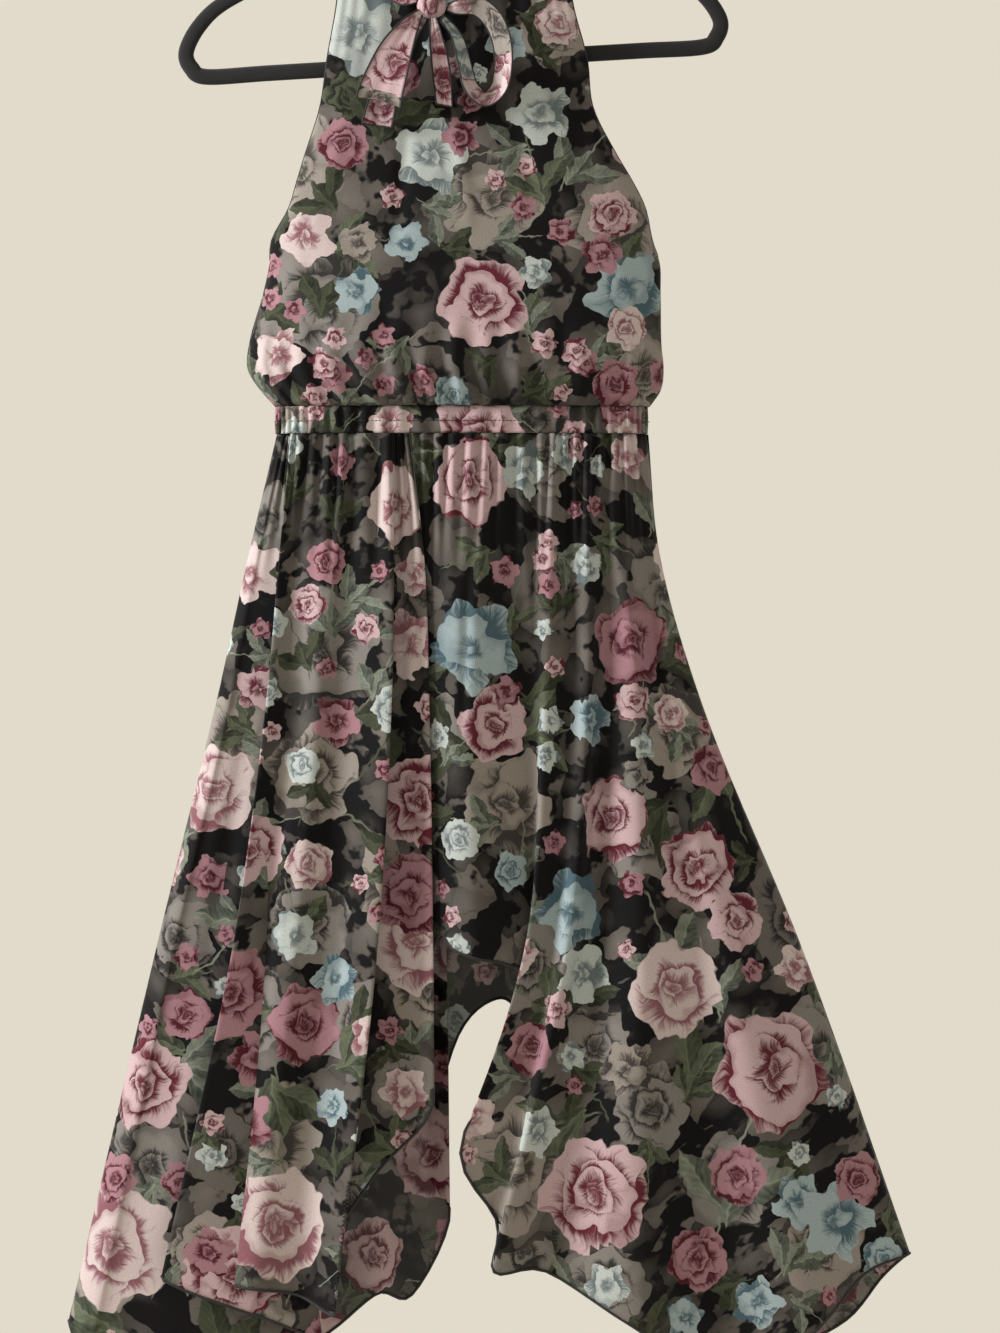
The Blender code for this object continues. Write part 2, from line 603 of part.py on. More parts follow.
def main():
    for old in list(bpy.data.objects):
        bpy.data.objects.remove(old, do_unlink=True)
    print_cloth = (0.055, 0.045, 0.048)
    make_hanger(cloth_material("black flocking", (0.008, 0.008, 0.009), 0.95))
    make_hook(cloth_material("chromed wire", (0.72, 0.72, 0.74), 0.22, 1.0))
    make_band(cloth_material("printed chiffon band", (0.09, 0.07, 0.075)))
    steps = (0, 0.06, 0.17, 0.32, 0.47, 0.62, 0.75, 0.84, 0.91, 0.96, 1)
    make_bodice("bodice_front", 1, 42, steps, cloth_material("printed chiffon front", (0.12, 0.08, 0.09)))
    steps = (0, 0.14, 0.34, 0.56, 0.7, 0.84, 0.93, 1)
    make_bodice("bodice_back", -1, 30, steps, cloth_material("printed chiffon back", print_cloth))
    make_casing(cloth_material("elastic casing", (0.07, 0.05, 0.055)))
    steps = (0, 0.06, 0.16, 0.28, 0.4, 0.52, 0.63, 0.74, 0.84, 0.93, 1)
    out, hems = [row[5] for row in FRONT_FOLDS], [row[6] for row in FRONT_FOLDS]
    cloth = cloth_material("printed chiffon skirt", (0.14, 0.09, 0.1))
    make_skirt("skirt_front", front_lines, out, hems, 1, 3, steps, cloth)
    steps = (0, 0.1, 0.25, 0.42, 0.58, 0.73, 0.87, 1)
    out, hems = [row[2] for row in BACK_FOLDS], [row[3] for row in BACK_FOLDS]
    cloth = cloth_material("printed chiffon skirt back", print_cloth)
    make_skirt("skirt_back", back_lines, out, hems, -1, 3, steps, cloth)
    make_knot(cloth_material("printed chiffon knot", (0.3, 0.18, 0.2)))
    for name, tie in TIES.items():
        make_tie(name, tie, cloth_material("printed chiffon " + name, (0.25, 0.17, 0.18)))


main()
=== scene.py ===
"""A halter dress in printed chiffon on a flocked hanger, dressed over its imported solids."""

import math

import bmesh
import bpy
import numpy as np
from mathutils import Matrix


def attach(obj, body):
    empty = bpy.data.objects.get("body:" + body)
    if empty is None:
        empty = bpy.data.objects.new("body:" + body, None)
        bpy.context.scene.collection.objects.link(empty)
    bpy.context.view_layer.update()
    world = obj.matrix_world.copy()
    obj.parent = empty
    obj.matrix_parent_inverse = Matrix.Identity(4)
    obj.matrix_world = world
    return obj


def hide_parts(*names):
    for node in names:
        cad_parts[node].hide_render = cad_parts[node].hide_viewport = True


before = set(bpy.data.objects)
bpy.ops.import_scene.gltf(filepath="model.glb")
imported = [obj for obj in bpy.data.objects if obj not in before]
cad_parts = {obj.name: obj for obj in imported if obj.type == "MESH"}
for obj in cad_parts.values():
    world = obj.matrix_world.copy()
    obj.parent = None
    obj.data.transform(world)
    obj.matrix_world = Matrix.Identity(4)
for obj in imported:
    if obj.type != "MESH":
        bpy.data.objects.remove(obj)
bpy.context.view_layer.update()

# Studio: the camera looks straight at the front, so that the picture is 803 mm wide at the dress. A pale
# world and two soft lamps give the even light of a room with its window to the left.
MM = 0.001
VIEW_MIDDLE = (0.0365, -0.012, -0.6773)
VIEW_HEIGHT = 1.0704
CAMERA_DISTANCE = 3.2
SENSOR = 24.0
FLOOR_DOWN = 1.42
FLOOR_RADIUS = 0.7


def linear(code, alpha=1.0):
    """An sRGB hex colour as the linear numbers that Blender keeps."""
    parts = [int(code[i : i + 2], 16) / 255 for i in (1, 3, 5)]
    parts = [c / 12.92 if c <= 0.04045 else ((c + 0.055) / 1.055) ** 2.4 for c in parts]
    return (*parts, alpha)


def add(tree, kind, inputs=None, **settings):
    """Adds a node. An input is given a value, a socket, or a node whose first output it takes."""
    node = tree.nodes.new(kind)
    for name, value in settings.items():
        setattr(node, name, value)
    for name, value in (inputs or {}).items():
        if isinstance(value, bpy.types.Node):
            value = value.outputs[0]
        if isinstance(value, bpy.types.NodeSocket):
            tree.links.new(value, node.inputs[name])
        else:
            node.inputs[name].default_value = value
    return node


def new_material(name):
    material = bpy.data.materials.new(name)
    material.use_nodes = True
    return material, material.node_tree, material.node_tree.nodes["Principled BSDF"]


camera = bpy.data.cameras.new("front_view")
camera.sensor_fit = "VERTICAL"
camera.sensor_height = SENSOR
camera.lens = SENSOR * CAMERA_DISTANCE / VIEW_HEIGHT
eye = bpy.data.objects.new("front_view", camera)
eye.location = (VIEW_MIDDLE[0], VIEW_MIDDLE[1] - CAMERA_DISTANCE, VIEW_MIDDLE[2])
eye.rotation_euler = (math.radians(90), 0, 0)
bpy.context.collection.objects.link(eye)
bpy.context.scene.camera = eye
bpy.context.scene.view_settings.view_transform = "Standard"

world = bpy.data.worlds.new("cream_room")
world.use_nodes = True
world.node_tree.nodes["Background"].inputs["Color"].default_value = linear("#e6dfcf")
world.node_tree.nodes["Background"].inputs["Strength"].default_value = 0.96
bpy.context.scene.world = world

LAMPS = (
    ("window_left", (-2.2, -0.6, 0.3), 0.7, 110.0),
    ("room_fill", (1.6, -2.0, -1.0), 1.8, 4.0),
    ("behind_fill", (0.3, 2.2, -0.4), 1.8, 14.0),
)
for name, place, side, power in LAMPS:
    lamp = bpy.data.lights.new(name, "AREA")
    lamp.shape = "SQUARE"
    lamp.size = side
    lamp.energy = power
    holder = bpy.data.objects.new(name, lamp)
    holder.location = place
    aim = np.array(VIEW_MIDDLE) - np.array(place)
    holder.rotation_euler = (
        math.atan2(np.hypot(aim[0], aim[1]), -aim[2]),
        0,
        math.atan2(aim[1], aim[0]) - math.pi / 2,
    )
    bpy.context.collection.objects.link(holder)

turn = np.linspace(0, 2 * math.pi, 96, endpoint=False)
floor_mesh = bpy.data.meshes.new("studio_floor")
rim = [(FLOOR_RADIUS * math.cos(a), FLOOR_RADIUS * math.sin(a), -FLOOR_DOWN) for a in turn]
floor_mesh.from_pydata(rim, [], [tuple(range(len(rim)))])
floor = bpy.data.objects.new("studio_floor", floor_mesh)
material, tree, shader = new_material("pale painted floor")
grain = add(tree, "ShaderNodeTexNoise", {"Scale": 14.0, "Detail": 4.0})
shade = add(
    tree,
    "ShaderNodeMix",
    {0: grain.outputs[0], 6: linear("#dcd4c4"), 7: linear("#e6dfd0")},
    data_type="RGBA",
)
tree.links.new(shade.outputs[2], shader.inputs["Base Color"])
floor_mesh.materials.append(material)
bpy.context.collection.objects.link(floor)

# Hanger: a slim flat bow and bar in one piece of moulded polystyrene, flocked black all over so that cloth
# doesn't slip off. It hangs tilted by a few degrees, with the neck band over its shoulders.
HANGER_TILT = 3.45
BAR_DOWN = 190.0
BAR_HALF_HEIGHT = 6.5
HANGER_HALF_DEPTH = 2.8
HANGER_STEPS = 12
HANGER_SIDES = 20

# The half hanger's centre line, from its top to its bar: across, up from the bar, half height of the section
HANGER_LINE = (
    (0.0, 106.0, 6.6),
    (50.0, 101.0, 6.0),
    (94.0, 91.5, 6.0),
    (140.0, 77.0, 6.0),
    (183.0, 58.5, 6.0),
    (204.0, 41.0, 6.2),
    (215.5, 21.0, 6.3),
    (212.0, 7.5, 6.5),
    (200.0, 0.0, 6.5),
    (150.0, 0.0, 6.5),
    (75.0, 0.0, 6.5),
)


def mesh_piece(name, points, faces, material):
    """A smooth mesh that rides with the hanging dress, from points in millimetres: across, front, down."""
    mesh = bpy.data.meshes.new(name)
    vertices = np.reshape(points, (-1, 3)) * (MM, -MM, -MM)
    mesh.from_pydata(vertices.tolist(), [], np.asarray(faces).tolist())
    mesh.shade_smooth()
    mesh.materials.append(material)
    piece = bpy.data.objects.new(name, mesh)
    bpy.context.collection.objects.link(piece)
    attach(piece, "root")
    return piece


def grid_faces(index):
    """The four corners of each face of a grid of vertices."""
    corners = (index[1:, :-1], index[1:, 1:], index[:-1, 1:], index[:-1, :-1])
    return np.stack(corners, axis=-1).reshape(-1, 4)


def spline(knots, values, at):
    """A smooth curve through the values at rising knots, straight beyond both ends."""
    knots, values, at = np.asarray(knots, float), np.asarray(values, float), np.asarray(at, float)
    spans = np.diff(knots)
    rates = np.diff(values) / spans
    slopes = np.concatenate([rates[:1], rates, rates[-1:]])
    slopes = (slopes[:-1] + slopes[1:]) / 2
    inside = np.clip(at, knots[0], knots[-1])
    i = np.clip(np.searchsorted(knots, inside, side="right") - 1, 0, len(spans) - 1)
    t = (inside - knots[i]) / spans[i]
    curve = (
        (2 * t**3 - 3 * t**2 + 1) * values[i]
        + (t**3 - 2 * t**2 + t) * spans[i] * slopes[i]
        + (3 * t**2 - 2 * t**3) * values[i + 1]
        + (t**3 - t**2) * spans[i] * slopes[i + 1]
    )
    return curve + (at - inside) * np.where(at < knots[0], slopes[0], slopes[-1])


def hanger_points():
    """The hanger's closed centre line, tilted about the middle of its bar: across, down, half height."""
    half = np.array(HANGER_LINE)
    left = half[::-1].copy()
    left[:, 0] *= -1
    line = np.concatenate([half, [[0.0, 0.0, BAR_HALF_HEIGHT]], left[:-1]])
    tilt = math.radians(HANGER_TILT)
    across = line[:, 0] * math.cos(tilt) - line[:, 1] * math.sin(tilt)
    up = line[:, 0] * math.sin(tilt) + line[:, 1] * math.cos(tilt)
    return np.stack([across, BAR_DOWN - up, line[:, 2]], axis=1)


# Flocking: nylon fibres 0.5 mm long, stood on end in glue, deep black with a pale bloom at grazing angles
flocking, tree, shader = new_material("black flocking")
place = add(tree, "ShaderNodeTexCoord").outputs["Object"]
fibres = add(tree, "ShaderNodeTexNoise", {"Vector": place, "Scale": 1400.0, "Detail": 2.0})
wear = add(tree, "ShaderNodeTexNoise", {"Vector": place, "Scale": 40.0, "Detail": 3.0})
nap = add(tree, "ShaderNodeMath", {0: fibres, 1: wear}, operation="MULTIPLY")
hue = add(tree, "ShaderNodeMix", {0: nap, 6: linear("#040405"), 7: linear("#1c1b1d")}, data_type="RGBA")
tree.links.new(hue.outputs[2], shader.inputs["Base Color"])
pile = add(tree, "ShaderNodeBump", {"Strength": 0.5, "Distance": 0.0004, "Height": fibres.outputs[0]})
tree.links.new(pile.outputs[0], shader.inputs["Normal"])
shader.inputs["Roughness"].default_value = 0.95
shader.inputs["Sheen Weight"].default_value = 0.35
shader.inputs["Sheen Roughness"].default_value = 0.4

line = hanger_points()
closed = np.concatenate([line, line[:1]])
at = np.linspace(0, len(line), HANGER_STEPS * len(line), endpoint=False)
across, down, half = (spline(np.arange(len(closed)), closed[:, k], at) for k in range(3))
path = np.stack([np.roll(across, -1) - np.roll(across, 1), np.roll(down, -1) - np.roll(down, 1)])
path /= np.linalg.norm(path, axis=0)
turn = np.linspace(0, 2 * math.pi, HANGER_SIDES, endpoint=False)
bulge = np.sign(np.cos(turn)) * np.abs(np.cos(turn)) ** 0.8
section_x = across[:, None] - half[:, None] * bulge * path[1][:, None]
section_z = down[:, None] + half[:, None] * bulge * path[0][:, None]
points = np.stack([section_x, HANGER_HALF_DEPTH * np.sin(turn) + 0 * section_x, section_z], axis=-1)
index = np.arange(len(at) * len(turn)).reshape(len(at), len(turn))
index = np.concatenate([index, index[:1]])
index = np.concatenate([index, index[:, :1]], axis=1)
hanger = mesh_piece("hanger_flocked", points, grid_faces(index), flocking)
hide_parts("hanger_body")

# Hook: steel wire 3.5 mm thick, bent cold round a former and chromed bright. Its straight foot swivels in a
# socket in the hanger's top.
HOOK_WIRE_RADIUS = 1.75
HOOK_INNER_RADIUS = 17.0
HOOK_FOOT_GAP = 0.4
HOOK_ARC = (-48.0, 205.0)

# The hook's straight stretch: across and up from its foot
HOOK_SHANK = ((0.0, 0.0), (0.6, 12.0), (3.0, 22.0))


def lay_path(name, route):
    """A curve along a route of across, front and down."""
    curve = bpy.data.curves.new(name, "CURVE")
    curve.dimensions = "3D"
    strand = curve.splines.new("POLY")
    strand.points.add(len(route) - 1)
    for point, place in zip(strand.points, route):
        point.co = (place[0] * MM, -place[1] * MM, -place[2] * MM, 1)
    holder = bpy.data.objects.new(name + "_path", curve)
    bpy.context.collection.objects.link(holder)
    return holder


def piece_from_path(name, holder, material):
    """The mesh that a path and its modifiers make, as a piece that rides with the hanging dress."""
    graph = bpy.context.evaluated_depsgraph_get()
    mesh = bpy.data.meshes.new_from_object(holder.evaluated_get(graph))
    bpy.data.objects.remove(holder)
    mesh.materials.clear()
    mesh.materials.append(material)
    mesh.shade_smooth()
    piece = bpy.data.objects.new(name, mesh)
    bpy.context.collection.objects.link(piece)
    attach(piece, "root")
    return piece


def tube(name, route, radius, material, resolution=1):
    """A round strand along a route of across, front and down."""
    holder = lay_path(name, route)
    holder.data.bevel_depth = radius * MM
    holder.data.bevel_resolution = resolution
    holder.data.use_fill_caps = True
    return piece_from_path(name, holder, material)


# Chrome plate: bright, with fine drawing marks along the wire
chrome, tree, shader = new_material("chromed hook wire")
place = add(tree, "ShaderNodeTexCoord").outputs["Object"]
marks = add(tree, "ShaderNodeTexNoise", {"Vector": place, "Scale": 260.0})
rough = add(tree, "ShaderNodeMapRange", {"Value": marks, "To Min": 0.12, "To Max": 0.3})
tree.links.new(rough.outputs[0], shader.inputs["Roughness"])
shader.inputs["Base Color"].default_value = linear("#cfd0d3")
shader.inputs["Metallic"].default_value = 1.0

apex = line[0]
foot = apex[1] - apex[2] - HOOK_FOOT_GAP
route = [(apex[0] + x, 0, foot - up) for x, up in HOOK_SHANK]
for angle in np.radians(np.linspace(*HOOK_ARC, 60)):
    radius = HOOK_INNER_RADIUS + HOOK_WIRE_RADIUS
    route.append((radius * math.cos(angle), 0, HOOK_INNER_RADIUS - radius * math.sin(angle)))
hook = tube("hanger_hook_wire", route, HOOK_WIRE_RADIUS, chrome, 4)
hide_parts("hanger_hook")

# Neck band: a strip of the print folded double, gathered small, that stands on the hanger's shoulders and
# takes the gathered tops of the bodice.
NECK_HALF_WIDTH = 94.0
NECK_HALF_DEPTH = 12.0
BAND_HEIGHT = 24.0
BAND_LOW = 123.0
BAND_REST = 89.5
BAND_THICKNESS = 1.6
BAND_GATHERS = 34
BAND_GATHER_DEPTH = 0.7
BAND_COLUMNS = 408
BAND_ROWS = 12
SEAM_GAP = 0.3

# Printed chiffon: a thin crepe weave in matt polyester, black, with a transfer print of roses, blue
# blossoms, grey shadow blooms and leaves. Each motif is laid on the flat cloth, so the folds bend and cut it
# as they do on the dress. A face carries, for each coat of the print, its place in its motif.
COATS = ("shade", "sprig_a", "sprig_b", "bloom_a", "bloom_b", "small")
PALETTES = {
    "rose": ("#571d2a", "#b79da1"),
    "dusky": ("#47141f", "#98717a"),
    "blush": ("#7d515a", "#c0b0af"),
    "blue": ("#435963", "#95a4a8"),
    "ice": ("#606b6e", "#afb6b3"),
    "grey": ("#2b2928", "#797470"),
    "taupe": ("#393533", "#8a827b"),
    "dim": ("#211f1f", "#5f5a56"),
    "leaf": ("#22271e", "#626855"),
    "sage": ("#2f342f", "#7f8578"),
    "moss": ("#1a1d16", "#484d3b"),
}
# Petals round the middle, rings of petals, depth of the scallops at the rim
FORMS = {
    "rose": (0.66, 1.5, 0.055),
    "blossom": (0.7, 0.65, 0.12),
    "small": (0.72, 0.9, 0.13),
    "shadow": (0.6, 1.2, 0.1),
}


def new_group(name, kind, taken, handed):
    """A node group with its named inputs and outputs, and the sockets that its inputs come in by."""
    tree = bpy.data.node_groups.new(name, kind)
    for way, sockets in (("INPUT", taken), ("OUTPUT", handed)):
        for label, value in sockets.items():
            tree.interface.new_socket(label, in_out=way, socket_type="NodeSocket" + value)
    return tree, add(tree, "NodeGroupInput").outputs


def flower_group():
    """One flower coat: petals as cells round the middle, pale at their rims and deep at their feet."""
    taken = {"Under": "Color", "Place": "Vector", "Form": "Vector", "Deep": "Color", "Pale": "Color"}
    tree, given = new_group("flower coat", "ShaderNodeTree", taken, {"Color": "Color"})
    flat = add(tree, "ShaderNodeVectorMath", {0: given["Place"], 1: (1, 1, 0)}, operation="MULTIPLY")
    seed = add(tree, "ShaderNodeSeparateXYZ", {0: given["Place"]}).outputs[2]
    shift = add(tree, "ShaderNodeMath", {0: seed, 1: 37.0}, operation="MULTIPLY")
    apart = add(tree, "ShaderNodeVectorMath", {0: given["Place"], 1: shift}, operation="ADD")
    wobble = add(
        tree, "ShaderNodeTexNoise", {"Vector": apart, "Scale": 2.6, "Detail": 1.5}, noise_dimensions="2D"
    )
    wobble = add(
        tree, "ShaderNodeVectorMath", {0: wobble.outputs[1], 1: (0.5, 0.5, 0.5)}, operation="SUBTRACT"
    )
    wobble = add(tree, "ShaderNodeVectorMath", {0: wobble, 1: (0.38, 0.38, 0)}, operation="MULTIPLY")
    flat = add(tree, "ShaderNodeVectorMath", {0: flat, 1: wobble}, operation="ADD")
    radius = add(tree, "ShaderNodeVectorMath", {0: flat}, operation="LENGTH").outputs[1]
    way = add(tree, "ShaderNodeVectorMath", {0: flat}, operation="NORMALIZE")
    form = add(tree, "ShaderNodeSeparateXYZ", {0: given["Form"]})
    log = add(tree, "ShaderNodeMath", {0: radius, 1: 0.07}, operation="ADD")
    log = add(tree, "ShaderNodeMath", {0: log, 1: math.e}, operation="LOGARITHM")
    rise = add(tree, "ShaderNodeMath", {0: log, 1: form.outputs[1]}, operation="MULTIPLY")
    start = add(tree, "ShaderNodeMath", {0: seed, 1: 9.0}, operation="MULTIPLY")
    rise = add(tree, "ShaderNodeMath", {0: rise, 1: start}, operation="ADD")
    ring = add(tree, "ShaderNodeVectorMath", {0: way, "Scale": form.outputs[0]}, operation="SCALE")
    up = add(tree, "ShaderNodeCombineXYZ", {2: rise})
    cell = add(tree, "ShaderNodeVectorMath", {0: ring, 1: up}, operation="ADD")
    petal = add(tree, "ShaderNodeTexVoronoi", {"Vector": cell, "Scale": 1.0, "Randomness": 0.8})
    foot = add(tree, "ShaderNodeSeparateXYZ", {0: petal.outputs["Position"]}).outputs[2]
    reach = add(tree, "ShaderNodeMath", {0: rise, 1: foot}, operation="SUBTRACT")
    light = add(tree, "ShaderNodeMath", {0: reach, 1: 1.05, 2: 0.52}, operation="MULTIPLY_ADD")
    open_out = add(
        tree,
        "ShaderNodeMapRange",
        {"Value": radius, "From Max": 0.55, "To Min": 0.2},
        interpolation_type="SMOOTHSTEP",
    )
    light = add(tree, "ShaderNodeMath", {0: light, 1: open_out}, operation="MULTIPLY")
    streaks = add(tree, "ShaderNodeVectorMath", {0: way, 1: (7, 7, 7), 2: apart}, operation="MULTIPLY_ADD")
    streaks = add(
        tree,
        "ShaderNodeTexNoise",
        {"Vector": streaks, "Scale": 1.6, "Detail": 2.0, "Roughness": 0.7},
        noise_dimensions="2D",
    )
    light = add(tree, "ShaderNodeMath", {0: streaks.outputs[0], 1: 0.7, 2: light}, operation="MULTIPLY_ADD")
    light = add(
        tree,
        "ShaderNodeMapRange",
        {"Value": light, "From Min": 0.36, "From Max": 0.82},
        interpolation_type="SMOOTHSTEP",
    )
    tint = add(tree, "ShaderNodeMix", {0: light, 6: given["Deep"], 7: given["Pale"]}, data_type="RGBA")
    far = petal.outputs["Distance"]
    crease = add(
        tree,
        "ShaderNodeMapRange",
        {"Value": far, "From Min": 0.56, "From Max": 0.74, "To Min": 1.0, "To Max": 0.62},
    )
    tint = add(tree, "ShaderNodeMix", {0: crease, 6: given["Deep"], 7: tint.outputs[2]}, data_type="RGBA")
    parts = add(tree, "ShaderNodeSeparateXYZ", {0: flat})
    angle = add(tree, "ShaderNodeMath", {0: parts.outputs[1], 1: parts.outputs[0]}, operation="ARCTAN2")
    angle = add(tree, "ShaderNodeMath", {0: angle, 1: 5.0, 2: start}, operation="MULTIPLY_ADD")
    scallop = add(tree, "ShaderNodeMath", {0: angle}, operation="COSINE")
    rim = add(tree, "ShaderNodeMath", {0: scallop, 1: form.outputs[2], 2: 0.8}, operation="MULTIPLY_ADD")
    inside = add(tree, "ShaderNodeMath", {0: rim, 1: radius}, operation="SUBTRACT")
    inside = add(tree, "ShaderNodeMapRange", {"Value": inside, "From Max": 0.02})
    laid = add(tree, "ShaderNodeMix", {0: inside, 6: given["Under"], 7: tint.outputs[2]}, data_type="RGBA")
    add(tree, "NodeGroupOutput", {0: laid.outputs[2]})
    return tree


def leaf_group():
    """One leaf: it grows from a point of the sprig, at a turn, and gives its mask and its light."""
    taken = {"Place": "Vector", "Root": "Vector", "Turn": "Float", "Width": "Float"}
    tree, given = new_group("leaf", "ShaderNodeTree", taken, {"Mask": "Float", "Light": "Float"})
    place = add(tree, "ShaderNodeVectorMath", {0: given["Place"], 1: given["Root"]}, operation="SUBTRACT")
    place = add(
        tree, "ShaderNodeVectorRotate", {"Vector": place, "Angle": given["Turn"]}, rotation_type="Z_AXIS"
    )
    parts = add(tree, "ShaderNodeSeparateXYZ", {0: place})
    along = add(
        tree, "ShaderNodeMath", {0: parts.outputs[0], 1: 1.12}, operation="MULTIPLY", use_clamp=True
    )
    swell = add(tree, "ShaderNodeMath", {0: along, 1: math.pi}, operation="MULTIPLY")
    swell = add(tree, "ShaderNodeMath", {0: swell}, operation="SINE")
    swell = add(tree, "ShaderNodeMath", {0: swell, 1: given["Width"]}, operation="MULTIPLY")
    off = add(tree, "ShaderNodeMath", {0: parts.outputs[1]}, operation="ABSOLUTE")
    inside = add(tree, "ShaderNodeMath", {0: swell, 1: off}, operation="SUBTRACT")
    mask = add(tree, "ShaderNodeMapRange", {"Value": inside, "From Max": 0.02})
    vein = add(
        tree,
        "ShaderNodeMapRange",
        {"Value": off, "From Min": 0.008, "From Max": 0.022, "To Min": 0.35, "To Max": 0.0},
    )
    rib = add(tree, "ShaderNodeMath", {0: off, 1: -1.3, 2: parts.outputs[0]}, operation="MULTIPLY_ADD")
    rib = add(tree, "ShaderNodeMath", {0: rib, 1: 52.0}, operation="MULTIPLY")
    rib = add(tree, "ShaderNodeMath", {0: rib}, operation="SINE")
    side = add(tree, "ShaderNodeMath", {0: parts.outputs[1]}, operation="SIGN")
    light = add(tree, "ShaderNodeMath", {0: side, 1: 0.2, 2: 0.36}, operation="MULTIPLY_ADD")
    light = add(tree, "ShaderNodeMath", {0: rib, 1: 0.08, 2: light}, operation="MULTIPLY_ADD")
    light = add(tree, "ShaderNodeMath", {0: light, 1: vein}, operation="ADD")
    add(tree, "NodeGroupOutput", {0: mask, 1: light})
    return tree


# The leaves of a sprig: where each grows from, its turn, its half width
LEAVES = (
    ((-0.72, -0.1, 0), -0.15, 0.25),
    ((-0.5, 0.0, 0), -0.95, 0.22),
    ((-0.35, -0.1, 0), 0.85, 0.21),
)


def sprig_group(leaf):
    """One coat of leaves: three leaves and a thin stem."""
    taken = {"Under": "Color", "Place": "Vector", "Deep": "Color", "Pale": "Color"}
    tree, given = new_group("sprig coat", "ShaderNodeTree", taken, {"Color": "Color"})
    seed = add(tree, "ShaderNodeSeparateXYZ", {0: given["Place"]}).outputs[2]
    shift = add(tree, "ShaderNodeMath", {0: seed, 1: 41.0}, operation="MULTIPLY")
    apart = add(tree, "ShaderNodeVectorMath", {0: given["Place"], 1: shift}, operation="ADD")
    wobble = add(
        tree,
        "ShaderNodeTexNoise",
        {"Vector": apart, "Scale": 2.2, "Detail": 2.0, "Roughness": 0.65},
        noise_dimensions="2D",
    )
    wobble = add(
        tree, "ShaderNodeVectorMath", {0: wobble.outputs[1], 1: (0.5, 0.5, 0.5)}, operation="SUBTRACT"
    )
    wobble = add(tree, "ShaderNodeVectorMath", {0: wobble, 1: (0.26, 0.26, 0)}, operation="MULTIPLY")
    place = add(tree, "ShaderNodeVectorMath", {0: given["Place"], 1: wobble}, operation="ADD")
    parts = add(tree, "ShaderNodeSeparateXYZ", {0: place})
    stem = add(tree, "ShaderNodeMath", {0: parts.outputs[1]}, operation="ABSOLUTE")
    stem = add(
        tree,
        "ShaderNodeMapRange",
        {"Value": stem, "From Min": 0.012, "From Max": 0.026, "To Min": 0.8, "To Max": 0.0},
    )
    reach = add(tree, "ShaderNodeVectorMath", {0: given["Place"], 1: (1, 1, 0)}, operation="MULTIPLY")
    reach = add(tree, "ShaderNodeVectorMath", {0: reach}, operation="LENGTH").outputs[1]
    reach = add(
        tree,
        "ShaderNodeMapRange",
        {"Value": reach, "From Min": 0.8, "From Max": 0.9, "To Min": 1.0, "To Max": 0.0},
    )
    stem = add(tree, "ShaderNodeMath", {0: stem, 1: reach}, operation="MULTIPLY")
    tint = add(
        tree, "ShaderNodeMix", {0: stem, 6: given["Under"], 7: given["Pale"]}, data_type="RGBA"
    ).outputs[2]
    blot = add(
        tree, "ShaderNodeTexNoise", {"Vector": apart, "Scale": 5.0, "Detail": 1.5}, noise_dimensions="2D"
    )
    for root, turn, width in LEAVES:
        one = add(tree, "ShaderNodeGroup", node_tree=leaf)
        tree.links.new(place.outputs[0], one.inputs["Place"])
        for name, value in (("Root", root), ("Turn", turn), ("Width", width)):
            one.inputs[name].default_value = value
        light = add(
            tree,
            "ShaderNodeMath",
            {0: blot.outputs[0], 1: 0.7, 2: one.outputs["Light"]},
            operation="MULTIPLY_ADD",
        )
        light = add(tree, "ShaderNodeMath", {0: light, 1: 0.25}, operation="SUBTRACT", use_clamp=True)
        green = add(tree, "ShaderNodeMix", {0: light, 6: given["Deep"], 7: given["Pale"]}, data_type="RGBA")
        mask = add(tree, "ShaderNodeMath", {0: one.outputs["Mask"], 1: reach}, operation="MULTIPLY")
        tint = add(
            tree, "ShaderNodeMix", {0: mask, 6: tint, 7: green.outputs[2]}, data_type="RGBA"
        ).outputs[2]
    add(tree, "NodeGroupOutput", {0: tint})
    return tree


FLOWER_COAT = flower_group()
SPRIG_COAT = sprig_group(leaf_group())


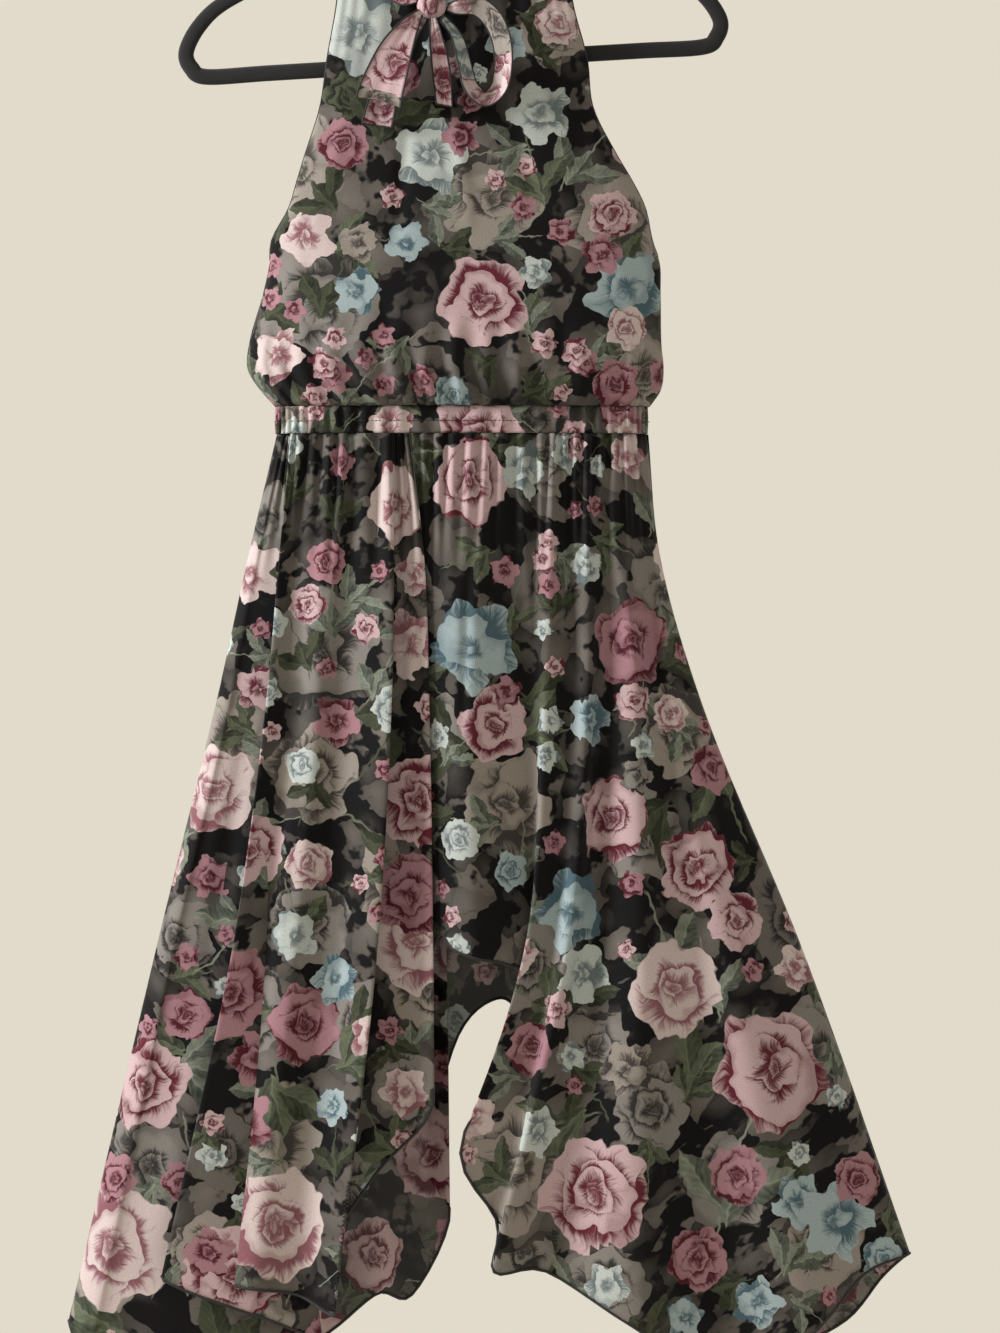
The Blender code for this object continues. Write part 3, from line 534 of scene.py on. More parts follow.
def chiffon(name, alpha, ground=("#070608", "#6e6863")):
    """Printed polyester chiffon: matt, faintly see-through, with a dry crepe grain and a soft sheen at
    grazing angles. Its threads are 0.15 mm apart, too fine to show, so the grain is drawn at about 1 mm."""
    material, tree, shader = new_material(name)
    place = add(tree, "ShaderNodeUVMap", uv_map="flat_cloth")
    warp = add(
        tree,
        "ShaderNodeTexNoise",
        {"Vector": place, "Scale": 26.0, "Detail": 3.0, "Roughness": 0.6},
        noise_dimensions="2D",
    )
    bent = add(
        tree,
        "ShaderNodeVectorMath",
        {0: warp.outputs[1], 1: (0.026, 0.026, 0), 2: place},
        operation="MULTIPLY_ADD",
    )
    petals = add(tree, "ShaderNodeTexVoronoi", {"Vector": bent, "Scale": 38.0}, voronoi_dimensions="2D")
    tone = add(tree, "ShaderNodeSeparateColor", {0: petals.outputs["Color"]})
    tone = add(
        tree, "ShaderNodeMath", {0: petals.outputs["Distance"], 1: -0.45, 2: tone}, operation="MULTIPLY_ADD"
    )
    patch = add(
        tree,
        "ShaderNodeMapRange",
        {"Value": warp, "From Min": 0.44, "From Max": 0.5},
        interpolation_type="SMOOTHSTEP",
    )
    tone = add(tree, "ShaderNodeMath", {0: tone, 1: patch}, operation="MULTIPLY", use_clamp=True)
    tint = add(
        tree, "ShaderNodeMix", {0: tone, 6: linear(ground[0]), 7: linear(ground[1])}, data_type="RGBA"
    ).outputs[2]
    for coat in COATS:
        local = add(tree, "ShaderNodeAttribute", attribute_name=coat + "_place").outputs[1]
        deep = add(tree, "ShaderNodeAttribute", attribute_name=coat + "_deep").outputs[0]
        pale = add(tree, "ShaderNodeAttribute", attribute_name=coat + "_pale").outputs[0]
        kind = SPRIG_COAT if coat.startswith("sprig") else FLOWER_COAT
        layer = add(tree, "ShaderNodeGroup", node_tree=kind)
        for socket, value in (("Under", tint), ("Place", local), ("Deep", deep), ("Pale", pale)):
            tree.links.new(value, layer.inputs[socket])
        if kind is FLOWER_COAT:
            form = add(tree, "ShaderNodeAttribute", attribute_name=coat + "_form").outputs[1]
            tree.links.new(form, layer.inputs["Form"])
        tint = layer.outputs[0]
    crepe = add(
        tree, "ShaderNodeTexNoise", {"Vector": place, "Scale": 900.0, "Detail": 2.0, "Roughness": 0.6}
    )
    grain = add(
        tree,
        "ShaderNodeMapRange",
        {"Value": crepe, "From Min": 0.3, "From Max": 0.7, "To Min": 0.68, "To Max": 0.92},
    )
    tint = add(tree, "ShaderNodeVectorMath", {0: tint, 1: grain}, operation="MULTIPLY")
    tree.links.new(tint.outputs[0], shader.inputs["Base Color"])
    bump = add(tree, "ShaderNodeBump", {"Strength": 0.25, "Distance": 0.0006, "Height": crepe.outputs[0]})
    tree.links.new(bump.outputs[0], shader.inputs["Normal"])
    rough = add(tree, "ShaderNodeMapRange", {"Value": crepe, "To Min": 0.68, "To Max": 0.92})
    tree.links.new(rough.outputs[0], shader.inputs["Roughness"])
    shader.inputs["Alpha"].default_value = alpha
    material.use_transparent_shadow = False
    shader.inputs["Sheen Weight"].default_value = 0.08
    shader.inputs["Sheen Roughness"].default_value = 0.45
    shader.inputs["Specular IOR Level"].default_value = 0.12
    return material


# The coats that a motif of the chart may take, best first
ORDERS = {"small": ("small", "bloom_b", "bloom_a"), "shadow": ("shade",)}

# The picture's scale: PIXEL is one of its pixels in millimetres at the dress, and the hook's inner top lies
# at PICTURE_ORIGIN. A chart motif falls on the cloth within CHART_REACH of its place. A petal's rim falls
# short of its motif's radius by RIM_ALLOWANCE, and motifs of one coat may crowd each other a little. A sprig
# grows from a flower: its length and its reach are shares of the flower's radius and of its own length.
PIXEL = 0.803
PICTURE_ORIGIN = (454.5, -177.0)
CHART_REACH = 7.0
RIM_ALLOWANCE = 1.22
CROWDING = 0.8
MOTIF_ROOM = 1.05
SPRIGS_A_FLOWER = 3
SPRIG_LENGTH = (0.8, 17.0)
SPRIG_REACH = (0.62, 0.75)
LEAN_LIMIT = 1.0
STRETCH_LIMITS = (0.7, 1.4)


def motif(coat, at, radius, kind, palette, turn, seed):
    form = FORMS.get(kind, (0, 0, 0))
    place = {"coat": coat, "at": at, "radius": radius, "turn": turn, "seed": seed}
    return {**place, "form": form, "palette": palette, "lean": 0.0, "stretch": 1.0}


def keep_round(motifs, across, down, front, flat):
    """Sets how each motif leans and stretches on the flat cloth, so that it keeps its shape where a panel
    flares and its cloth runs askew."""
    points = np.stack([across, front, down], axis=-1)
    moved = np.stack([np.gradient(points, axis=1), np.gradient(points, axis=0)], axis=-1)
    steps = np.stack([np.gradient(flat, axis=1), np.gradient(flat, axis=0)], axis=-1)
    rates = moved @ np.linalg.inv(steps)
    along, aside = rates[..., 0], rates[..., 1]
    lean = (along * aside).sum(axis=-1) / np.linalg.norm(along, axis=-1)
    stretch = np.sqrt(np.maximum((aside**2).sum(axis=-1) - lean**2, 0.2))
    for m in motifs:
        gap = np.hypot(flat[..., 0] - m["at"][0], flat[..., 1] - m["at"][1])
        near = gap < max(0.6 * m["radius"], gap.min() + 1.0)
        m["lean"] = float(np.clip(np.median(lean[near]), -LEAN_LIMIT, LEAN_LIMIT))
        m["stretch"] = float(np.clip(np.median(stretch[near]), *STRETCH_LIMITS))


def free_of(placed, coat, at, radius):
    """Whether a motif would lie clear of those already in its coat."""
    near = (math.dist(at, m["at"]) < (radius + m["radius"]) * MOTIF_ROOM for m in placed if m["coat"] == coat)
    return not any(near)


def set_attribute(mesh, name, kind, domain, field, values):
    attribute = mesh.attributes.new(name, kind, domain)
    attribute.data.foreach_set(field, np.ascontiguousarray(values, np.float32).ravel())


def print_motifs(mesh, corners, motifs):
    """Writes each face's place in the motif that covers it, coat by coat. corners is (face, corner, 2)."""
    middle = corners.mean(axis=1)
    size = np.linalg.norm(corners - middle[:, None], axis=2).max(axis=1)
    for coat in COATS:
        place = np.full((len(corners), 4, 3), 9.0)
        looks = {name: np.zeros((len(corners), 4)) for name in ("deep", "pale")}
        form = np.zeros((len(corners), 3))
        for m in (m for m in motifs if m["coat"] == coat):
            shape = np.array([[1, m["lean"]], [0, m["stretch"]]]) / m["radius"]
            gap = np.linalg.norm((middle - m["at"]) @ shape.T, axis=1)
            inside = gap < 1.04 + size / m["radius"]
            offset = (corners[inside] - np.array(m["at"])) @ shape.T
            cosine, sine = math.cos(m["turn"]), math.sin(m["turn"])
            place[inside, :, 0] = offset[:, :, 0] * cosine - offset[:, :, 1] * sine
            place[inside, :, 1] = -offset[:, :, 0] * sine - offset[:, :, 1] * cosine
            place[inside, :, 2] = m["seed"]
            form[inside] = m["form"]
            for name, code in zip(("deep", "pale"), PALETTES[m["palette"]]):
                looks[name][inside] = linear(code)
        set_attribute(mesh, coat + "_place", "FLOAT_VECTOR", "CORNER", "vector", place)
        if not coat.startswith("sprig"):
            set_attribute(mesh, coat + "_form", "FLOAT_VECTOR", "FACE", "vector", form)
        for name, values in looks.items():
            set_attribute(mesh, f"{coat}_{name}", "FLOAT_COLOR", "FACE", "color", values)


def scatter(rng, placed, area, coat, share, radii, kinds, palettes, clear=()):
    """Throws motifs on the flat cloth until they cover a share of it or find no more room, clear of other
    coats where these are named."""
    (low_u, low_v), (high_u, high_v) = area
    wanted = share * (high_u - low_u) * (high_v - low_v) / (math.pi * (sum(radii) / 2) ** 2)
    for _ in range(int(wanted * 4)):
        at = (rng.uniform(low_u, high_u), rng.uniform(low_v, high_v))
        radius = rng.uniform(*radii)
        kind, palette = kinds[rng.integers(len(kinds))], palettes[rng.integers(len(palettes))]
        turn, seed = rng.uniform(0, 2 * math.pi), rng.uniform(0, 1)
        if all(free_of(placed, other, at, radius * CROWDING) for other in (coat, *clear)):
            placed.append(motif(coat, at, radius, kind, palette, turn, seed))


def lay_print(seed, across, down, front, flat, chart, blooms):
    """The motifs of one piece: those of its chart, where they show on the hung cloth, leaves round them, then
    scattered ones. All arrays are grids in millimetres, and flat is the same points on the flat cloth."""
    rng = np.random.default_rng(seed)
    placed = []
    for x_pixels, z_pixels, radius_pixels, kind, palette in chart:
        x = (x_pixels - PICTURE_ORIGIN[0]) * PIXEL
        z = (z_pixels - PICTURE_ORIGIN[1]) * PIXEL
        radius = radius_pixels * PIXEL * RIM_ALLOWANCE
        gap = np.hypot(across - x, down - z)
        near = gap < max(CHART_REACH, gap.min() + 1.0)
        if gap.min() > radius:
            continue
        pick = np.argmax(np.where(near, front, -1e9))
        at = tuple(flat.reshape(-1, 2)[pick])
        order = ORDERS.get(kind, ("bloom_a", "bloom_b", "small"))
        coat = next((c for c in order if free_of(placed, c, at, radius * CROWDING)), None)
        if coat:
            placed.append(motif(coat, at, radius, kind, palette, rng.uniform(0, 6.3), rng.uniform(0, 1)))
    for bloom in [m for m in placed if m["coat"] != "shade"]:
        for way in rng.uniform(0, 6.3, SPRIGS_A_FLOWER):
            length = bloom["radius"] * SPRIG_LENGTH[0] + SPRIG_LENGTH[1]
            reach = bloom["radius"] * SPRIG_REACH[0] + length * SPRIG_REACH[1]
            at = (bloom["at"][0] + reach * math.cos(way), bloom["at"][1] - reach * math.sin(way))
            coat = next((c for c in ("sprig_a", "sprig_b") if free_of(placed, c, at, length)), None)
            palette = ("leaf", "sage", "moss")[rng.integers(3)]
            if coat:
                placed.append(motif(coat, at, length, "sprig", palette, -way, rng.uniform(0, 1)))
    low, high = flat.reshape(-1, 2).min(axis=0), flat.reshape(-1, 2).max(axis=0)
    # Coat, share of the cloth, least and largest radius, kinds, palettes, other coats to keep clear of
    scattered = (
        ("shade", 1.0, (38, 64), ("shadow", "rose"), ("grey", "taupe", "taupe", "grey", "dim")),
        ("sprig_a", 0.55, (26, 38), ("sprig",), ("leaf", "sage", "sage")),
        ("sprig_b", 0.45, (22, 32), ("sprig",), ("moss", "leaf", "sage")),
        ("bloom_a", blooms, (34, 54), ("rose",), ("rose", "blush", "dusky")),
        (
            "bloom_b",
            blooms * 1.6,
            (18, 30),
            ("blossom", "rose"),
            ("blue", "ice", "blush", "dusky"),
            ("bloom_a",),
        ),
        ("small", blooms, (9, 15), ("small",), ("dusky", "rose", "dusky", "ice"), ("bloom_a", "bloom_b")),
    )
    for row in scattered:
        scatter(rng, placed, (low, high), *row)
    keep_round(placed, across, down, front, flat)
    return placed


def cloth_piece(name, grid, flat, material, motifs, thickness, ring=False):
    """A sheet from a grid of points, with its places on the flat cloth as its UV map, given its thickness.
    The last column of a ring lies on its first."""
    rows, columns = grid.shape[:2]
    corner_flat = flat.reshape(-1, 2)[grid_faces(np.arange(rows * columns).reshape(rows, columns))]
    if ring:
        grid = grid[:, :-1]
        index = np.arange(rows * (columns - 1)).reshape(rows, columns - 1)
        index = np.concatenate([index, index[:, :1]], axis=1)
    else:
        index = np.arange(rows * columns).reshape(rows, columns)
    piece = mesh_piece(name, grid, grid_faces(index), material)
    print_cloth(piece.data, corner_flat, motifs)
    solid = piece.modifiers.new("thickness", "SOLIDIFY")
    solid.thickness = thickness * MM
    solid.offset = 0.0
    return piece


def print_cloth(mesh, corner_flat, motifs):
    layer = mesh.uv_layers.new(name="flat_cloth")
    layer.data.foreach_set("uv", (corner_flat * MM).astype(np.float32).ravel())
    print_motifs(mesh, corner_flat, motifs)


def oval(turn):
    """A unit oval, squarer than an ellipse: across and front at each angle."""
    cosine, sine = np.cos(turn), np.sin(turn)
    return np.sign(cosine) * np.abs(cosine) ** 0.8, np.sign(sine) * np.abs(sine) ** 0.75


def arm_top(across):
    """How far down the top of the hanger's arm is, below a place across."""
    line = hanger_points()
    upper = line[line[:, 1] < BAR_DOWN - 30.0]
    upper = upper[np.argsort(upper[:, 0])]
    down = np.interp(across, upper[:, 0], upper[:, 1])
    half_height = np.interp(across, upper[:, 0], upper[:, 2])
    slope = np.interp(across + 1.0, upper[:, 0], upper[:, 1]) - down
    return down - half_height * np.sqrt(1 + slope**2)


def band_lower(across):
    """The neck band's lower edge sags from the hanger's arms, where its ends rest."""
    share = np.minimum(np.abs(across) / BAND_REST, 1.0)
    rest = np.where(across < 0, arm_top(-BAND_REST), arm_top(BAND_REST)) - SEAM_GAP
    return rest + (BAND_LOW - rest) * (1 - share**2)


def ring_flat(across, front, down):
    """Flat places for a tube: the way round it, and how far down."""
    steps = np.hypot(np.diff(across, axis=1), np.diff(front, axis=1)).mean(axis=0)
    run = np.concatenate([[0], np.cumsum(steps)])
    return np.stack([run + 0 * down, down], axis=-1)


band_cloth = chiffon("printed chiffon folded double", alpha=1.0)
turn = np.linspace(0, 2 * math.pi, BAND_COLUMNS + 1)
oval_across, oval_front = oval(turn)
rise = np.linspace(1, 0, BAND_ROWS + 1)[:, None]
swell = np.sin(math.pi * rise)
gathers = BAND_GATHER_DEPTH * np.cos(BAND_GATHERS * turn + 0.9 * np.sin(5 * turn)) * (1 - 0.6 * rise)
across = oval_across * NECK_HALF_WIDTH + 0 * rise
front = oval_front * (NECK_HALF_DEPTH * (1 + 0.08 * swell) + gathers)
down = band_lower(across) - BAND_HEIGHT * rise
grid, flat = np.stack([across, front, down], axis=-1), ring_flat(across, front, down)
motifs = lay_print(31, across, down, front, flat, chart=(), blooms=0.35)
band = cloth_piece("neck_band_cloth", grid, flat, band_cloth, motifs, BAND_THICKNESS, ring=True)
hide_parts("neck_band")

# Bodice: a front and a back of the print, gathered to the neck band, open at the armholes, and bloused over
# the waist casing. The creases of its front are placed as they fall in the picture.
BODICE_END = 468.0
LEAST_STAND = 0.4
BODICE_THICKNESS = 0.5
SIDE_CROWDING = 0.42 * math.pi
NECK_GATHERS = 13
WAIST_GATHERS = 17
BODICE_GATHER_DEPTH = 1.7
ARMHOLE_END = 352.0
ARMHOLE_EDGE_RADIUS = 0.8
NECK_FADE = (150.0, 250.0)
WAIST_FADE = (385.0, 450.0)
UNFOLD_LEVELS = 70

# The bodice's outline: down, left edge, right edge, half depth, front of its side edge
BODICE_ROWS = (
    (88.0, -92.0, 92.0, 12.0, 8.0),
    (123.0, -93.0, 93.0, 12.5, 8.5),
    (142.0, -94.4, 94.4, 14.0, 9.0),
    (190.0, -102.4, 106.4, 17.0, 10.0),
    (228.0, -108.0, 111.0, 19.0, 10.0),
    (266.0, -120.0, 130.0, 21.0, 9.0),
    (287.0, -126.5, 142.5, 22.5, 8.0),
    (308.0, -133.0, 153.0, 24.0, 6.0),
    (335.0, -147.4, 159.0, 25.5, 3.0),
    (352.0, -149.0, 165.0, 27.0, 0.4),
    (375.0, -153.8, 165.8, 29.0, 0.4),
    (419.0, -165.8, 166.5, 33.0, 0.4),
    (438.0, -166.6, 168.2, 34.0, 0.4),
    (455.0, -156.2, 165.8, 30.0, 0.4),
    (468.0, -144.5, 157.0, 21.5, 0.4),
)

# Creases: top across and down, bottom across and down, half width, height
BODICE_CREASES = (
    (-36.0, 230.0, -48.0, 345.0, 7.0, -2.2),
    (0.0, 228.0, 13.0, 330.0, 6.0, 1.8),
    (40.0, 226.0, 70.0, 318.0, 8.0, -2.4),
    (85.0, 212.0, 118.0, 300.0, 7.0, -2.0),
    (-82.0, 226.0, -116.0, 328.0, 8.0, 2.2),
    (-150.0, 402.0, -122.0, 463.0, 8.0, -3.2),
    (-62.0, 383.0, -22.0, 462.0, 7.0, -2.6),
    (-104.0, 395.0, -46.0, 464.0, 8.0, 2.8),
    (18.0, 408.0, 35.0, 466.0, 5.5, -2.2),
    (86.0, 402.0, 72.0, 465.0, 6.0, -2.6),
    (150.0, 396.0, 118.0, 464.0, 8.0, -3.0),
    (116.0, 330.0, 150.0, 388.0, 9.0, 2.0),
    (-124.0, 340.0, -141.0, 402.0, 8.0, 2.4),
    (-22.0, 342.0, 38.0, 377.0, 9.0, -1.8),
    (54.0, 425.0, 49.0, 466.0, 4.0, 2.0),
    (-12.0, 425.0, -15.0, 466.0, 4.0, -1.8),
    (-112.0, 300.0, -60.0, 372.0, 10.0, -1.6),
)
BACK_CREASES = (
    (-58.0, 200.0, -84.0, 330.0, 9.0, -2.0),
    (22.0, 190.0, 30.0, 320.0, 7.0, 1.8),
    (92.0, 220.0, 124.0, 330.0, 8.0, -2.2),
    (-140.0, 392.0, -110.0, 462.0, 8.0, -2.8),
    (-30.0, 400.0, -36.0, 465.0, 6.0, 2.2),
    (60.0, 390.0, 40.0, 464.0, 7.0, -2.4),
    (142.0, 398.0, 112.0, 463.0, 8.0, -2.8),
)

# Motifs that show on the front: pixels across and down, radius in pixels, kind, palette
CHART = (
    (352, 30, 40, "blossom", "ice"),
    (340, 92, 24, "shadow", "moss"),
    (560, 30, 36, "shadow", "taupe"),
    (500, 190, 52, "shadow", "taupe"),
    (575, 165, 40, "shadow", "grey"),
    (312, 300, 58, "shadow", "grey"),
    (345, 140, 26, "rose", "dusky"),
    (425, 150, 36, "blossom", "ice"),
    (468, 135, 18, "small", "dusky"),
    (545, 108, 30, "blossom", "ice"),
    (505, 40, 20, "blossom", "blue"),
    (390, 75, 22, "rose", "dusky"),
    (300, 235, 27, "blossom", "blush"),
    (350, 245, 20, "blossom", "taupe"),
    (400, 238, 20, "blossom", "blue"),
    (620, 213, 25, "rose", "rose"),
    (608, 252, 20, "small", "dusky"),
    (485, 295, 46, "rose", "rose"),
    (540, 268, 16, "blossom", "ice"),
    (635, 290, 40, "blossom", "blue"),
    (272, 350, 26, "blossom", "blush"),
    (318, 362, 15, "small", "rose"),
    (340, 382, 17, "small", "dusky"),
    (308, 402, 14, "small", "rose"),
    (415, 384, 16, "small", "dusky"),
    (547, 340, 14, "small", "rose"),
    (572, 346, 14, "small", "rose"),
    (592, 362, 13, "small", "dusky"),
    (575, 372, 12, "small", "rose"),
    (622, 388, 26, "rose", "dusky"),
    (635, 330, 22, "rose", "blush"),
    (470, 475, 46, "rose", "rose"),
    (255, 520, 40, "shadow", "grey"),
    (330, 650, 62, "shadow", "grey"),
    (310, 770, 48, "shadow", "taupe"),
    (515, 800, 50, "shadow", "taupe"),
    (640, 830, 44, "shadow", "grey"),
    (430, 590, 34, "shadow", "dim"),
    (180, 930, 40, "shadow", "grey"),
    (590, 1040, 40, "shadow", "grey"),
    (720, 1180, 48, "shadow", "grey"),
    (225, 1140, 40, "shadow", "dim"),
    (350, 462, 17, "small", "dusky"),
    (532, 468, 26, "blossom", "ice"),
    (632, 455, 22, "blossom", "blush"),
    (575, 445, 14, "small", "rose"),
    (290, 440, 15, "blossom", "ice"),
    (320, 560, 22, "rose", "dusky"),
    (300, 602, 20, "rose", "rose"),
    (512, 570, 15, "small", "dusky"),
    (536, 560, 14, "small", "rose"),
    (548, 578, 13, "small", "dusky"),
    (540, 540, 12, "small", "rose"),
    (405, 640, 32, "blossom", "blush"),
    (480, 640, 44, "blossom", "blue"),
    (500, 722, 36, "rose", "rose"),
    (512, 688, 16, "small", "dusky"),
    (640, 640, 44, "rose", "dusky"),
    (593, 562, 18, "blossom", "ice"),
    (250, 690, 22, "blossom", "rose"),
    (270, 620, 14, "blossom", "ice"),
    (410, 800, 46, "rose", "rose"),
    (405, 888, 40, "rose", "dusky"),
    (262, 850, 36, "rose", "rose"),
    (318, 862, 26, "rose", "blush"),
    (312, 1020, 40, "rose", "dusky"),
    (240, 985, 44, "rose", "dusky"),
    (336, 975, 24, "blossom", "blue"),
    (206, 872, 20, "small", "dusky"),
    (152, 1085, 46, "rose", "rose"),
    (122, 1245, 62, "rose", "blush"),
    (285, 1220, 56, "rose", "blush"),
    (214, 1240, 24, "small", "dusky"),
    (110, 1170, 24, "rose", "dusky"),
    (400, 1085, 24, "blossom", "blush"),
    (330, 1100, 18, "blossom", "blue"),
    (690, 862, 42, "rose", "rose"),
    (640, 770, 17, "small", "grey"),
    (652, 745, 14, "small", "ice"),
    (578, 905, 40, "blossom", "blue"),
    (588, 972, 28, "blossom", "ice"),
    (552, 1000, 18, "small", "rose"),
    (680, 985, 50, "rose", "blush"),
    (776, 1062, 60, "rose", "rose"),
    (592, 1182, 58, "rose", "rose"),
    (702, 1250, 32, "rose", "dusky"),
    (798, 1192, 26, "blossom", "blue"),
    (842, 1218, 38, "blossom", "blue"),
    (545, 1125, 24, "blossom", "ice"),
    (482, 1112, 22, "blossom", "blush"),
    (602, 1275, 22, "blossom", "ice"),
    (752, 1290, 24, "blossom", "blue"),
    (720, 765, 26, "rose", "dusky"),
    (742, 915, 30, "rose", "rose"),
    (800, 962, 22, "blossom", "blush"),
    (860, 1170, 26, "rose", "dusky"),
    (640, 700, 20, "rose", "rose"),
    (620, 1060, 26, "blossom", "taupe"),
    (300, 930, 24, "blossom", "ice"),
    (430, 700, 14, "small", "rose"),
    (180, 1010, 26, "rose", "dusky"),
)


def fade(down, start, end):
    """1 at start and 0 at end, smooth between. It runs either way."""
    t = np.clip((np.asarray(down, float) - start) / (end - start), 0, 1)
    return 1 - t * t * (3 - 2 * t)


def crease_lift(rows, across, down):
    """How far soft creases lift the cloth. Each row runs from a top to a bottom point, across and down, and
    gives its half width and its height, below zero for a trough."""
    lift = 0 * across
    for top_x, top_z, end_x, end_z, half_width, height in rows:
        run_x, run_z = end_x - top_x, end_z - top_z
        along = ((across - top_x) * run_x + (down - top_z) * run_z) / (run_x**2 + run_z**2)
        t = np.clip(along, 0, 1)
        off = np.hypot(across - top_x - t * run_x, down - top_z - t * run_z) / half_width
        lift = lift + height * np.exp(-(off**2)) * np.sin(math.pi * t) ** 0.6
    return lift


def unfold(surface, u, top, bottom, down):
    """Flat places for a hung panel: how far across the unfolded cloth each point is, and how far down."""
    levels = np.linspace(top, bottom, UNFOLD_LEVELS)[:, None] + 0 * u
    across, front = surface(u, levels)
    steps = np.hypot(np.diff(across, axis=1), np.diff(front, axis=1))
    run = np.concatenate([np.zeros((len(levels), 1)), np.cumsum(steps, axis=1)], axis=1)
    run = run - run[:, [run.shape[1] // 2]]
    at = (down - top) / (bottom - top) * (len(levels) - 1)
    i = np.clip(at.astype(int), 0, len(levels) - 2)
    t, columns = at - i, np.arange(len(u))
    flat_u = run[i, columns] * (1 - t) + run[i + 1, columns] * t
    return np.stack([flat_u, down], axis=-1)


def bodice_surface(share, down, creases):
    """Half of the bodice at each share of its width: its points across and to the front."""
    table = np.array(BODICE_ROWS)
    place = np.sin(SIDE_CROWDING * share) / math.sin(SIDE_CROWDING)
    left, right, depth, edge = (spline(table[:, 0], table[:, k], down) for k in range(1, 5))
    edge = np.maximum(edge, LEAST_STAND)
    across = (left + right) / 2 + (right - left) / 2 * place
    round_off = np.sqrt(1 - np.abs(place) ** 3)
    below = down - band_lower(across)
    neck_wave = np.cos(math.pi * NECK_GATHERS * share + np.sin(9 * share)) * (1 - fade(below, 0, 8))
    neck_wave = neck_wave * fade(down, *NECK_FADE) * (0.5 + 0.3 * np.sin(4.3 * share + 1))
    waist_wave = np.cos(math.pi * WAIST_GATHERS * share + np.sin(7 * share)) * (1 - fade(down, *WAIST_FADE))
    waist_wave = waist_wave * (1.5 + 0.6 * np.sin(5.1 * share + 2))
    lift = BODICE_GATHER_DEPTH * (neck_wave + waist_wave) + crease_lift(creases, across, down)
    return across, edge + (depth - edge + lift) * round_off


def bodice_half(name, creases, facing, seed, chart, blooms, columns, rows):
    share = np.linspace(-1, 1, columns + 1)
    top = BAND_LOW + 0 * share
    for _ in range(4):
        across, _ = bodice_surface(share, top, creases)
        top = band_lower(across) + SEAM_GAP
    down = top + (BODICE_END - top) * np.linspace(0, 1, rows)[:, None]
    across, front = bodice_surface(share, down, creases)
    flat = unfold(lambda u, levels: bodice_surface(u, levels, creases), share, top.min(), BODICE_END, down)
    grid = np.stack([across, facing * front, down], axis=-1)
    if facing < 0:
        grid, flat = grid[:, ::-1], flat[:, ::-1] * (-1, 1)
    motifs = lay_print(seed, grid[:, :, 0], grid[:, :, 2], facing * grid[:, :, 1], flat, chart, blooms)
    piece = cloth_piece(name + "_cloth", grid, flat, bodice_cloth, motifs, BODICE_THICKNESS)
    for side, column in (("left", 0), ("right", -1)):
        route = grid[down[:, 0] < ARMHOLE_END, column][::2]
        tube(f"{name}_armhole_{side}", route, ARMHOLE_EDGE_RADIUS, thread)
    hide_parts(name)


# Black overlock thread: spun polyester, wound tight round each raw edge, matt with fine cross ridges
thread, tree, shader = new_material("black overlock thread")
place = add(tree, "ShaderNodeTexCoord").outputs["Object"]
wound = add(tree, "ShaderNodeTexWave", {"Vector": place, "Scale": 700.0}, bands_direction="DIAGONAL")
hue = add(
    tree,
    "ShaderNodeMix",
    {0: wound.outputs[1], 6: linear("#060607"), 7: linear("#1b1a1c")},
    data_type="RGBA",
)
tree.links.new(hue.outputs[2], shader.inputs["Base Color"])
ridges = add(tree, "ShaderNodeBump", {"Strength": 0.4, "Distance": 0.0003, "Height": wound.outputs[1]})
tree.links.new(ridges.outputs[0], shader.inputs["Normal"])
shader.inputs["Roughness"].default_value = 0.75

bodice_cloth = chiffon("printed chiffon bodice", alpha=0.98)
bodice_half(
    "bodice_front", BODICE_CREASES, facing=1, seed=41, chart=CHART, blooms=0.14, columns=220, rows=110
)
bodice_half("bodice_back", BACK_CREASES, facing=-1, seed=43, chart=(), blooms=0.5, columns=130, rows=80)

# Waist casing: a channel of the print sewn over a 20 mm elastic, which draws it up into small gathers. A row
# of black topstitches holds the elastic in place. The casing joins the bodice to the skirt.
CASING_END = 490.0
WAIST_MIDDLE = 5.5
WAIST_HALF_WIDTH = 149.0
WAIST_HALF_DEPTH = 20.0
CASING_GATHERS = 62
CASING_GATHER_DEPTH = 1.5
CASING_THICKNESS = 0.8
STITCH_PITCH = 3.2
STITCH_LENGTH = 2.5
STITCH_THICKNESS = 0.8


def stitch_group():
    """A row of machine stitches along a curve: each is a short thick end of thread that dips at both ends."""
    taken = {
        "Route": "Geometry",
        "Pitch": "Float",
        "Thickness": "Float",
        "Length": "Float",
        "Thread": "Material",
    }
    tree, given = new_group("stitch row", "GeometryNodeTree", taken, {"Stitches": "Geometry"})
    places = add(
        tree,
        "GeometryNodeCurveToPoints",
        {"Curve": given["Route"], "Length": given["Pitch"]},
        mode="LENGTH",
    )
    ball = add(tree, "GeometryNodeMeshUVSphere", {"Segments": 6, "Rings": 5, "Radius": 0.5})
    size = add(
        tree, "ShaderNodeCombineXYZ", {0: given["Thickness"], 1: given["Thickness"], 2: given["Length"]}
    )
    placed = {"Points": places, "Instance": ball, "Rotation": places.outputs["Rotation"], "Scale": size}
    row = add(tree, "GeometryNodeInstanceOnPoints", placed)
    row = add(tree, "GeometryNodeRealizeInstances", {"Geometry": row})
    row = add(tree, "GeometryNodeSetMaterial", {"Geometry": row, "Material": given["Thread"]})
    add(tree, "NodeGroupOutput", {0: row})
    return tree


STITCH_ROW = stitch_group()


